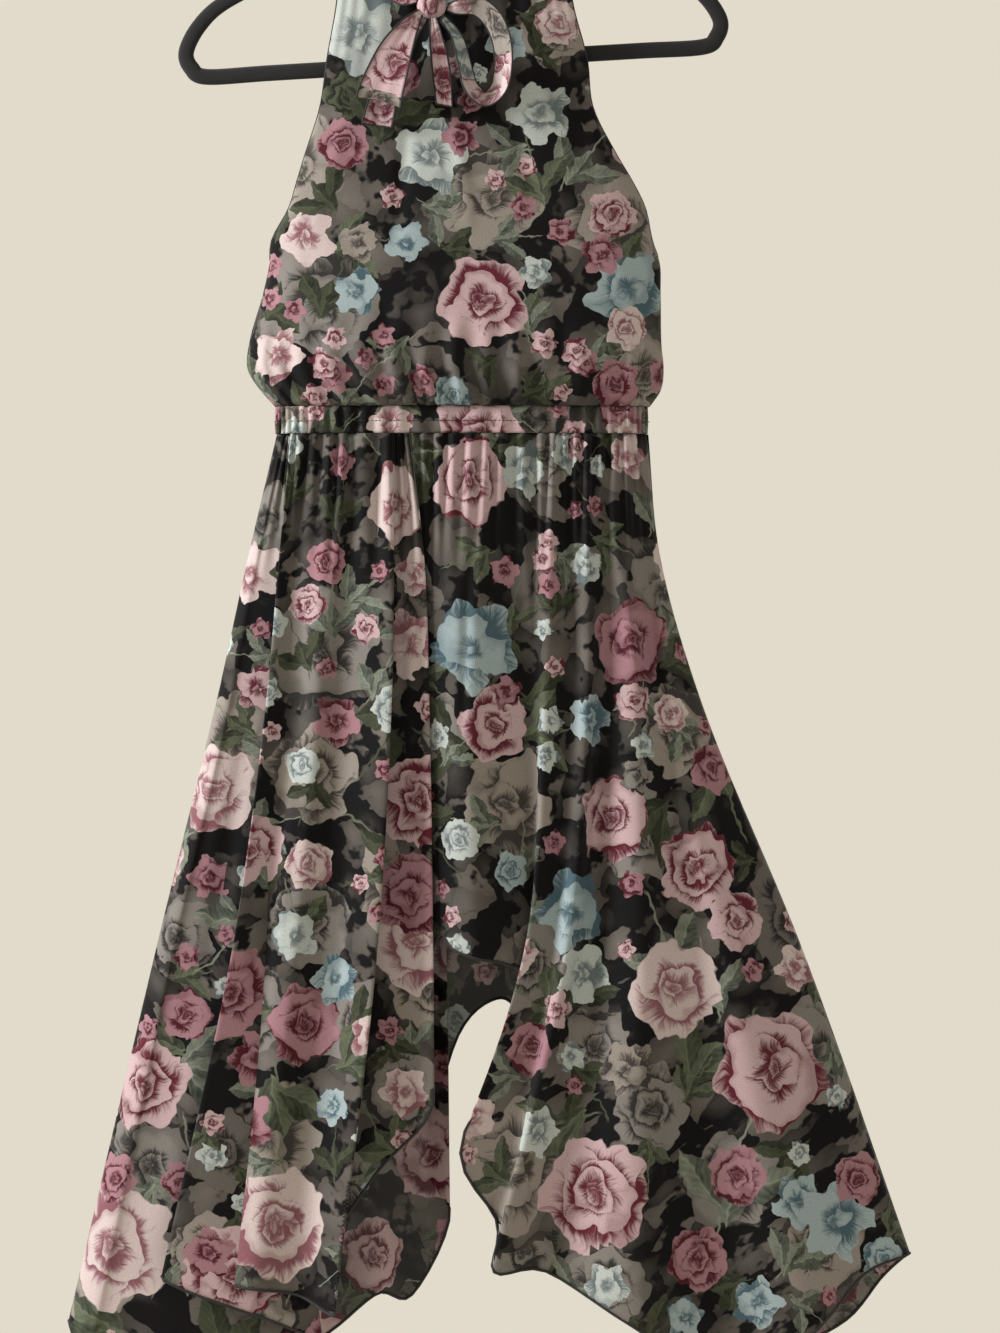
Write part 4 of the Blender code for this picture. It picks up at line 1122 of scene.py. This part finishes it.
def stitches(name, route):
    """Sews a row of stitches along a route of across, front and down."""
    holder = lay_path(name, route)
    sewing = holder.modifiers.new("sewing", "NODES")
    sewing.node_group = STITCH_ROW
    given = {
        "Pitch": STITCH_PITCH * MM,
        "Thickness": STITCH_THICKNESS * MM,
        "Length": STITCH_LENGTH * MM,
        "Thread": thread,
    }
    for item in STITCH_ROW.interface.items_tree:
        if item.in_out == "INPUT" and item.name in given:
            sewing[item.identifier] = given[item.name]
    return piece_from_path(name, holder, thread)


turn = np.linspace(0, 2 * math.pi, 8 * CASING_GATHERS + 1)
rows = np.linspace(0, 1, 11)[:, None]
swell = np.sin(math.pi * rows)
uneven = 0.75 + 0.25 * np.sin(11 * turn) * np.cos(7 * turn)
wave = CASING_GATHER_DEPTH * np.cos(CASING_GATHERS * turn) * (0.6 + 0.4 * swell) * uneven
cosine, sine = np.cos(turn), np.sin(turn)
oval_across, oval_front = oval(turn)
across = oval_across * WAIST_HALF_WIDTH
front = oval_front * (WAIST_HALF_DEPTH + 1.2 * swell)
length = np.hypot(cosine * WAIST_HALF_DEPTH, sine * WAIST_HALF_WIDTH)
across = WAIST_MIDDLE + across + wave * cosine * WAIST_HALF_DEPTH / length
front = front + wave * sine * WAIST_HALF_WIDTH / length
down = BODICE_END + SEAM_GAP + (CASING_END - BODICE_END - SEAM_GAP) * rows + 0 * turn
grid, flat = np.stack([across, front, down], axis=-1), ring_flat(across, front, down)
motifs = lay_print(53, across, down, front, flat, chart=CHART, blooms=0.35)
casing = cloth_piece("waist_casing_cloth", grid, flat, band_cloth, motifs, CASING_THICKNESS, ring=True)
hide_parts("waist_casing")

# The topstitches run just below the middle of the casing
middle = (grid[5] + grid[6]) / 2
outward = middle - (WAIST_MIDDLE, 0, 0)
outward[:, 2] = 0
outward /= np.linalg.norm(outward, axis=1, keepdims=True)
route = middle + outward * (CASING_THICKNESS + STITCH_THICKNESS) / 2
sewn = stitches("waist_casing_topstitch", route)

# Skirt: a front and a back panel of flared chiffon, gathered into the waist casing, with a dipping
# handkerchief hem. They hang in deep folds that turn under each other where the hem rises.
SKIRT_TOP = 490.0
SKIRT_LEVELS = (490.0, 592.0, 704.0, 905.0, 1162.0)
SKIRT_DEPTHS = (20.0, 26.0, 30.0, 36.0, 42.0)
FOLD_DEPTHS = (2.2, 6.0, 9.0, 12.0, 15.0)
GATHER_DEPTH = 2.6
GATHERS_A_FOLD = 1.5
GATHER_FADE = (500.0, 640.0)
SIDE_SHARES = 12
CLOTH_THICKNESS = 0.5
HEM_RADIUS = 1.25
LOWEST_HEM = 1275.0
CASING_GAP = 0.4

# The overlocked seam: the two sides of its zigzag as fold line numbers, its run down, pitch, lift and thread
SEAM_SIDES = (7.84, 7.99)
SEAM_RUN = (1086.0, 1188.0)
SEAM_PITCH = 1.7
SEAM_LIFT = 0.9
SEAM_THREAD = 0.4

# Creases on the folds: top across and down, bottom across and down, half width, height
FRONT_CREASES = (
    (-124.0, 500.0, -137.0, 705.0, 5.0, -3.2),
    (-88.0, 498.0, -101.0, 655.0, 4.0, 3.2),
    (-60.0, 500.0, -64.0, 625.0, 4.0, -3.5),
    (-28.0, 500.0, -40.0, 785.0, 5.0, 2.9),
    (12.0, 560.0, 6.0, 752.0, 4.5, -2.6),
    (53.0, 498.0, 61.0, 655.0, 4.0, 2.9),
    (85.0, 500.0, 98.0, 705.0, 5.0, -3.8),
    (117.0, 500.0, 150.0, 705.0, 5.0, 3.2),
    (149.0, 624.0, 214.0, 866.0, 7.0, -4.2),
    (181.0, 704.0, 278.0, 986.0, 8.0, 3.5),
    (109.0, 704.0, 117.0, 946.0, 6.0, -3.2),
    (-164.0, 704.0, -206.0, 986.0, 8.0, -3.8),
    (-124.0, 720.0, -149.0, 986.0, 6.0, 3.2),
    (-84.0, 785.0, -101.0, 1066.0, 6.0, -3.2),
    (-188.0, 905.0, -238.0, 1148.0, 9.0, 3.5),
    (157.0, 946.0, 182.0, 1172.0, 8.0, -3.8),
    (85.0, 946.0, 94.0, 1108.0, 6.0, 3.2),
)
HIDDEN_CREASES = (
    (-110.0, 500.0, -128.0, 690.0, 5.0, 3.2),
    (-40.0, 498.0, -50.0, 640.0, 4.0, -3.5),
    (30.0, 500.0, 34.0, 720.0, 5.0, 2.9),
    (96.0, 500.0, 118.0, 700.0, 5.0, -3.2),
    (-150.0, 700.0, -196.0, 980.0, 8.0, -3.8),
    (-70.0, 740.0, -88.0, 1010.0, 6.0, 3.5),
    (60.0, 720.0, 80.0, 930.0, 6.0, -3.2),
    (170.0, 720.0, 240.0, 990.0, 8.0, 3.8),
    (-200.0, 960.0, -244.0, 1180.0, 9.0, -3.5),
    (190.0, 980.0, 236.0, 1170.0, 8.0, -3.5),
)

# One row for each ridge, valley or folded edge of the front, from the left seam to the right one: across at
# each skirt level, then how far it stands out in fold depths, then how far down its hem is
FRONT_FOLDS = (
    (-143.0, -167.0, -191.5, -240.5, -301.0, 0.0, 1204.0),
    (-139.0, -161.0, -182.0, -228.0, -282.0, 0.6, 1232.0),
    (-134.0, -153.0, -172.0, -212.0, -253.0, -0.5, 1262.0),
    (-132.5, -137.0, -139.0, -143.0, -112.0, -1.0, 1222.0),
    (-130.5, -140.0, -150.0, -177.0, -230.0, 1.1, 1166.0),
    (-117.0, -123.0, -129.0, -155.0, -195.0, -0.3, 1168.0),
    (-101.0, -105.0, -110.0, -129.0, -160.0, 0.6, 1172.0),
    (-84.0, -86.0, -90.0, -105.0, -124.0, -0.3, 1178.0),
    (-52.0, -50.0, -51.0, -62.0, -91.0, 1.1, 1191.0),
    (-51.0, -53.0, -58.0, -76.0, -110.0, -0.6, 1156.0),
    (-45.0, -41.0, -41.0, -50.0, -69.0, -0.9, 1083.0),
    (-37.0, -24.5, -20.5, -17.5, -16.5, -0.1, 1026.0),
    (-33.5, -28.5, -27.0, -28.0, -32.0, -1.1, 953.0),
    (-19.0, -18.0, -16.5, -13.0, -8.0, -0.5, 893.0),
    (-2.0, -4.0, -2.0, 0.0, 4.0, 0.5, 903.0),
    (20.5, 16.0, 12.5, 19.0, 20.0, 0.8, 910.0),
    (40.0, 38.0, 36.5, 42.0, 40.0, -0.2, 915.0),
    (62.0, 62.0, 62.0, 60.5, 37.0, -1.0, 933.0),
    (78.5, 76.0, 73.0, 56.0, -37.0, 0.2, 1047.0),
    (93.5, 93.5, 93.5, 76.5, 24.0, -0.5, 1118.0),
    (107.0, 107.0, 107.0, 89.5, 31.0, 0.5, 1158.0),
    (121.5, 120.0, 118.5, 109.0, 73.0, -0.7, 1160.0),
    (137.5, 141.0, 144.0, 149.0, 142.5, 0.9, 1200.0),
    (148.0, 154.0, 162.0, 186.0, 207.0, -0.5, 1242.0),
    (153.0, 161.0, 174.0, 219.5, 269.0, 0.8, 1213.0),
    (156.0, 164.5, 186.0, 250.0, 327.0, -0.3, 1164.0),
    (154.5, 166.0, 198.0, 280.0, 371.0, 0.0, 1150.0),
)

# One row for each fold line of the back, from the left seam to the right one: its share of the width at the
# waist and at the hem, how far it stands out, and how far down its hem is
BACK_FOLDS = (
    (0.0, 0.0, 0.0, 1204.0),
    (0.045, 0.04, 0.7, 1236.0),
    (0.1, 0.1, -0.6, 1256.0),
    (0.165, 0.17, 0.8, 1262.0),
    (0.23, 0.24, -0.7, 1244.0),
    (0.3, 0.3, 0.6, 1222.0),
    (0.36, 0.355, -0.5, 1188.0),
    (0.41, 0.395, 0.7, 1192.0),
    (0.455, 0.442, -0.2, 1124.0),
    (0.47, 0.405, 0.9, 1080.0),
    (0.5, 0.44, 0.2, 984.0),
    (0.535, 0.5, -0.8, 949.0),
    (0.575, 0.545, 0.5, 962.0),
    (0.63, 0.595, -0.7, 1050.0),
    (0.7, 0.66, 0.8, 1140.0),
    (0.77, 0.745, -0.7, 1205.0),
    (0.84, 0.83, 0.7, 1228.0),
    (0.9, 0.9, -0.5, 1208.0),
    (0.955, 0.96, 0.6, 1172.0),
    (1.0, 1.0, 0.0, 1150.0),
)


def across_folds(lines, u):
    """Each fold line's values, (line, row, column), joined smoothly from line to line."""
    count = len(lines)
    i = np.clip(np.floor(u).astype(int), 0, count - 2)
    t = u - i
    before, after = np.maximum(i - 1, 0), np.minimum(i + 2, count - 1)
    columns = np.arange(len(u))
    p0, p1 = lines[before, :, columns].T, lines[i, :, columns].T
    p2, p3 = lines[i + 1, :, columns].T, lines[after, :, columns].T
    bend, pull = (p2 - p0) / 2, (p3 - p1) / 2
    return (
        (2 * t**3 - 3 * t**2 + 1) * p1
        + (t**3 - 2 * t**2 + t) * bend
        + (3 * t**2 - 2 * t**3) * p2
        + (t**3 - t**2) * pull
    )


def skirt_edges(down):
    left = spline(SKIRT_LEVELS, FRONT_FOLDS[0][:5], down)
    right = spline(SKIRT_LEVELS, FRONT_FOLDS[-1][:5], down)
    return left, right


def front_lines(down):
    return np.array([spline(SKIRT_LEVELS, row[:5], down) for row in FRONT_FOLDS])


def back_lines(down):
    left, right = skirt_edges(down)
    fall = np.clip((down - SKIRT_LEVELS[0]) / (SKIRT_LEVELS[-1] - SKIRT_LEVELS[0]), 0, 1)
    return np.array([left + (right - left) * (a + (b - a) * fall) for a, b, _, _ in BACK_FOLDS])


def skirt_surface(lines_at, out, u, down, creases):
    """The panel's points across and to the front, with the small soft creases that lie on its folds."""
    across = across_folds(lines_at(down), u)
    stands = across_folds(np.array(out)[:, None, None] + np.zeros((len(out), *down.shape)), u)
    left, right = skirt_edges(down)
    share = np.clip((across - left) / (right - left), 0, 1)
    round_off = np.sqrt(1 - np.abs(2 * share - 1) ** 3)
    depth = spline(SKIRT_LEVELS, SKIRT_DEPTHS, down)
    fold_depth = spline(SKIRT_LEVELS, FOLD_DEPTHS, down)
    near_side = np.clip(share * SIDE_SHARES, 0, 1) * np.clip((1 - share) * SIDE_SHARES, 0, 1)
    wave = np.cos(math.pi * 2 * GATHERS_A_FOLD * u + 0.8 * np.sin(1.7 * u))
    gathers = GATHER_DEPTH * wave * fade(down, *GATHER_FADE)
    lift = (gathers + crease_lift(creases, across, down)) * near_side
    front = (depth + fold_depth * stands) * round_off + lift
    return across, np.maximum(front, LEAST_STAND)


def overlocked_seam():
    """The zigzag of thread over the seam that shows beside the front's deep left fold, near its hem."""
    out = [row[5] for row in FRONT_FOLDS]
    sides = np.array(SEAM_SIDES)
    down = np.arange(*SEAM_RUN, SEAM_PITCH)[:, None] + 0 * sides
    across, front = skirt_surface(front_lines, out, sides, down, FRONT_CREASES)
    k = np.arange(len(down))
    route = np.stack([across[k, k % 2], front[k, k % 2] + SEAM_LIFT, down[:, 0]], axis=1)
    return tube("skirt_front_overlocked_seam", route, SEAM_THREAD, thread)


def skirt_panel(
    name, lines_at, out, hems, creases, material, facing, cuts, rows, seed, chart, blooms
):
    folds = len(hems)
    u = np.linspace(0, folds - 1, cuts * (folds - 1) + 1)
    hem = across_folds(np.repeat(np.array(hems)[:, None, None], len(u), axis=2), u)[0]
    drops = np.linspace(0, 1, rows)[:, None]
    down = SKIRT_TOP + CASING_GAP + (hem - SKIRT_TOP - CASING_GAP) * drops
    across, front = skirt_surface(lines_at, out, u, down, creases)
    flat = unfold(lambda v, d: skirt_surface(lines_at, out, v, d, creases), u, SKIRT_TOP, LOWEST_HEM, down)
    grid = np.stack([across, facing * front, down], axis=-1)
    if facing < 0:
        grid, flat = grid[:, ::-1], flat[:, ::-1] * (-1, 1)
    motifs = lay_print(seed, grid[:, :, 0], grid[:, :, 2], facing * grid[:, :, 1], flat, chart, blooms)
    piece = cloth_piece(name + "_cloth", grid, flat, material, motifs, CLOTH_THICKNESS)
    hem = tube(name + "_hem", grid[-1, ::2], HEM_RADIUS, thread)
    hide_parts(name)


skirt_cloth = chiffon("printed chiffon skirt", alpha=0.95)
back_cloth = chiffon("printed chiffon skirt back", alpha=0.86)
out, hems = [row[5] for row in FRONT_FOLDS], [row[6] for row in FRONT_FOLDS]
seam = overlocked_seam()
skirt_panel(
    "skirt_front",
    front_lines,
    out,
    hems,
    FRONT_CREASES,
    skirt_cloth,
    facing=1,
    cuts=10,
    rows=120,
    seed=11,
    chart=CHART,
    blooms=0.12,
)
out, hems = [row[2] for row in BACK_FOLDS], [row[3] for row in BACK_FOLDS]
skirt_panel(
    "skirt_back",
    back_lines,
    out,
    hems,
    HIDDEN_CREASES,
    back_cloth,
    facing=-1,
    cuts=11,
    rows=110,
    seed=23,
    chart=(),
    blooms=0.5,
)

# Bow: the two ties are strips of the print with black rolled edges, knotted at the neck, with a drooping loop
# and a hanging tail on the left, an open loop on the right and a short end between them.
KNOT_CENTRE = (-18.0, 27.0, 149.0)
KNOT_RADII = (12.0, 7.5, 10.5)
KNOT_GAP = 0.2
TIE_THICKNESS = 0.5
TIE_CLEARANCE = 0.6
TIE_START = 2.6
TIE_CROWN = 0.12
TIE_RIPPLE = 0.35
TIE_EDGE_RADIUS = 0.75
TIE_STEPS = 9
TIE_COLUMNS = 15
TIE_PETAL = 34.0
KNOT_SPREAD = 1.3

# For each tie: the angle and the front offset where it leaves the knot, and where a loop comes back, then its
# rows: across, front, down, half width, tilt of its width in the picture, swing towards the viewer
TIES = {
    "tie_strand_left": {
        "leaves": (158.0, 0.0),
        "rows": (
            (-38.0, 25.0, 143.0, 6.0, 58.0, 0.0),
            (-48.0, 20.0, 134.0, 10.0, 52.0, 0.0),
            (-60.0, 16.0, 122.5, 12.5, 48.0, 0.0),
            (-70.0, 13.6, 110.0, 13.5, 45.0, 0.0),
        ),
    },
    "tie_strand_right": {
        "leaves": (38.0, 0.0),
        "rows": (
            (0.0, 25.0, 139.0, 5.0, -42.0, 0.0),
            (14.0, 20.5, 131.0, 9.0, -48.0, 0.0),
            (30.0, 16.6, 121.0, 12.0, -50.0, 0.0),
            (44.0, 15.0, 110.0, 13.0, -50.0, 0.0),
        ),
    },
    "tie_loop_left": {
        "leaves": (214.0, 3.5),
        "returns": (214.0, -2.5),
        "rows": (
            (-37.0, 37.0, 168.0, 8.0, -22.0, 0.0),
            (-46.0, 42.0, 186.0, 13.0, -22.0, 6.0),
            (-54.0, 43.0, 207.0, 16.5, -18.0, 10.0),
            (-59.0, 40.0, 222.0, 18.0, -14.0, 8.0),
            (-60.0, 36.5, 228.0, 18.0, -14.0, 4.0),
            (-58.5, 33.0, 223.0, 17.0, -14.0, 0.0),
            (-54.0, 31.5, 207.0, 14.0, -18.0, 0.0),
            (-46.0, 30.5, 186.0, 10.0, -22.0, 0.0),
            (-37.0, 28.0, 168.0, 6.0, -24.0, 0.0),
        ),
    },
    "tie_loop_right": {
        "leaves": (352.0, 1.0),
        "returns": (312.0, -2.0),
        "rows": (
            (4.0, 33.0, 151.0, 7.0, 82.0, 40.0),
            (18.0, 36.0, 151.0, 10.0, 74.0, 50.0),
            (31.0, 37.0, 162.0, 11.0, 38.0, 50.0),
            (38.0, 37.0, 180.0, 11.0, 8.0, 50.0),
            (39.0, 37.0, 200.0, 11.0, -6.0, 50.0),
            (35.0, 37.0, 217.0, 11.0, -40.0, 50.0),
            (24.0, 36.0, 225.0, 10.5, -84.0, 50.0),
            (13.0, 35.0, 214.0, 9.5, -168.0, 50.0),
            (8.0, 33.0, 195.0, 8.0, -176.0, 50.0),
            (2.0, 29.0, 174.0, 5.0, -166.0, 30.0),
        ),
    },
    "tie_tail_left": {
        "leaves": (238.0, -5.0),
        "rows": (
            (-36.0, 25.6, 176.0, 5.5, -22.0, 0.0),
            (-47.0, 26.6, 199.0, 9.0, -18.0, 0.0),
            (-56.0, 27.4, 222.0, 11.0, -14.0, 0.0),
            (-62.0, 28.0, 245.0, 12.0, -8.0, 0.0),
        ),
    },
    "tie_tail_middle": {
        "leaves": (276.0, 3.0),
        "rows": (
            (-15.0, 33.0, 172.0, 4.5, 0.0, 0.0),
            (-12.0, 35.0, 190.0, 6.5, -4.0, 0.0),
            (-9.5, 36.0, 210.0, 7.0, -6.0, 0.0),
            (-8.0, 36.0, 230.0, 6.5, -10.0, 0.0),
        ),
    },
}

# The large petals that each tie shows along its length
TIE_PRINTS = {
    "tie_strand_left": ("rose", "blush"),
    "tie_strand_right": ("ice", "blush"),
    "tie_loop_left": ("blush", "rose", "taupe", "blush", "rose"),
    "tie_loop_right": ("blush", "taupe", "rose", "blush", "ice", "ice"),
    "tie_tail_left": ("blush", "rose", "rose"),
    "tie_tail_middle": ("blush", "rose"),
}


def knot_start(angle, offset):
    """A point just off the knot's surface, at an angle in the picture and an offset to the front."""
    cosine, sine = math.cos(math.radians(angle)), math.sin(math.radians(angle))
    shrink = math.sqrt(1 - (offset / KNOT_RADII[1]) ** 2)
    radius = shrink / math.hypot(cosine / KNOT_RADII[0], sine / KNOT_RADII[2]) + KNOT_GAP + TIE_CLEARANCE
    x, front, down = KNOT_CENTRE
    return (x + radius * cosine, front + offset, down - radius * sine, TIE_START, angle - 90.0, 0.0)


def small_print(seed, flat, palettes):
    """The print of a narrow strip, which shows only parts of its large petals, one after another."""
    rng = np.random.default_rng(seed)
    low, high = flat.reshape(-1, 2).min(axis=0), flat.reshape(-1, 2).max(axis=0)
    step = (high[1] - low[1]) / len(palettes)
    placed = []
    for k, palette in enumerate(palettes):
        coat = ("bloom_a", "bloom_b")[k % 2]
        at = ((low[0] + high[0]) / 2 + rng.uniform(-5, 5), low[1] + step * (k + 0.5))
        radius = max(step * 1.2, TIE_PETAL)
        turn, mark = rng.uniform(0, 6.3), rng.uniform(0, 1)
        placed.append(motif(coat, at, radius, "rose", palette, turn, mark))
    return placed


def tie_strip(name, tie, seed):
    rows = list(tie["rows"])
    first = knot_start(*tie["leaves"])
    turned = round((rows[0][4] - first[4]) / 180.0) * 180.0
    rows.insert(0, (*first[:4], first[4] + turned, 0.0))
    if "returns" in tie:
        last = knot_start(*tie["returns"])
        turned = round((rows[-1][4] - last[4]) / 180.0) * 180.0
        rows.append((*last[:4], last[4] + turned, 0.0))
    table = np.array(rows)
    at = np.linspace(0, len(table) - 1, TIE_STEPS * (len(table) - 1) + 1)
    x, front, down, half, tilt, swing = (spline(np.arange(len(table)), table[:, k], at) for k in range(6))
    tilt, swing = np.radians(tilt), np.radians(swing)
    side = np.stack([np.cos(tilt) * np.cos(swing), np.sin(swing), -np.sin(tilt) * np.cos(swing)], axis=1)
    middle = np.stack([x, front, down], axis=1)
    share = np.linspace(-1, 1, TIE_COLUMNS)
    grid = middle[:, None] + (half[:, None] * share)[:, :, None] * side[:, None]
    crown = np.cross(side, np.gradient(middle, axis=0))
    crown /= np.linalg.norm(crown, axis=1, keepdims=True)
    ripple = TIE_RIPPLE * np.cos(2.5 * math.pi * share + 0.2 * at[:, None])
    height = TIE_CROWN * half[:, None] * (1 - share**2) + ripple * (1 - np.abs(share) ** 3)
    grid = grid + height[:, :, None] * crown[:, None]
    run = np.concatenate([[0], np.cumsum(np.linalg.norm(np.diff(middle, axis=0), axis=1))])
    flat = np.stack([half[:, None] * share, run[:, None] + 0 * share], axis=-1)
    motifs = small_print(seed, flat, TIE_PRINTS[name])
    piece = cloth_piece(name + "_cloth", grid, flat, tie_cloth, motifs, TIE_THICKNESS)
    if "returns" in tie or name.startswith("tie_strand"):
        routes = (grid[:, 0], grid[:, -1])
    else:
        routes = (np.concatenate([grid[:, 0], grid[-1, 1:-1], grid[::-1, -1]]),)
    edges = [
        tube(f"{name}_edge_{k}", route, TIE_EDGE_RADIUS, thread)
        for k, route in enumerate(routes)
    ]
    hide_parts(name)


def knot_shape():
    """The knot: a soft lump with folds that wrap round it, closed at both poles."""
    rings, columns = 30, 48
    rise = np.linspace(0.05, math.pi - 0.05, rings)[:, None]
    turn = np.linspace(0, 2 * math.pi, columns, endpoint=False)
    folds = 1 + 0.035 * np.cos(3 * turn + 2.2 * rise) - 0.04 * np.abs(np.sin(1.5 * turn + 0.4)) ** 3
    x = KNOT_CENTRE[0] + KNOT_RADII[0] * np.sin(rise) * np.cos(turn) * folds
    front = KNOT_CENTRE[1] + KNOT_RADII[1] * np.sin(rise) * np.sin(turn) * folds
    down = KNOT_CENTRE[2] - KNOT_RADII[2] * np.cos(rise) + 0 * turn
    index = np.arange(rings * columns).reshape(rings, columns)
    faces = [grid_faces(np.concatenate([index, index[:, :1]], axis=1))]
    half = np.arange(columns // 2 - 1)
    for ring, way in ((index[0], 1), (index[-1], -1)):
        cap = np.stack(
            [ring[half], ring[half + 1], ring[columns - 2 - half], ring[columns - 1 - half]], axis=1
        )
        faces.append(cap[:, ::way])
    return np.stack([x, front, down], axis=-1).reshape(-1, 3), np.concatenate(faces)


tie_cloth = chiffon("printed chiffon ties", alpha=1.0, ground=("#4a3c3c", "#94837e"))
points, faces = knot_shape()
knot = mesh_piece("tie_knot_cloth", points, faces, tie_cloth)
shape = bmesh.new()
shape.from_mesh(knot.data)
bmesh.ops.recalc_face_normals(shape, faces=shape.faces)
shape.to_mesh(knot.data)
shape.free()
corners = np.array([[knot.data.vertices[i].co for i in face.vertices] for face in knot.data.polygons]) / MM
corner_flat = np.stack([corners[:, :, 0] * KNOT_SPREAD, -corners[:, :, 2]], axis=-1)
print_cloth(knot.data, corner_flat, small_print(61, corner_flat, ("dusky", "rose", "grey")))
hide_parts("tie_knot")
for number, (name, tie) in enumerate(TIES.items()):
    tie_strip(name, tie, 71 + number)
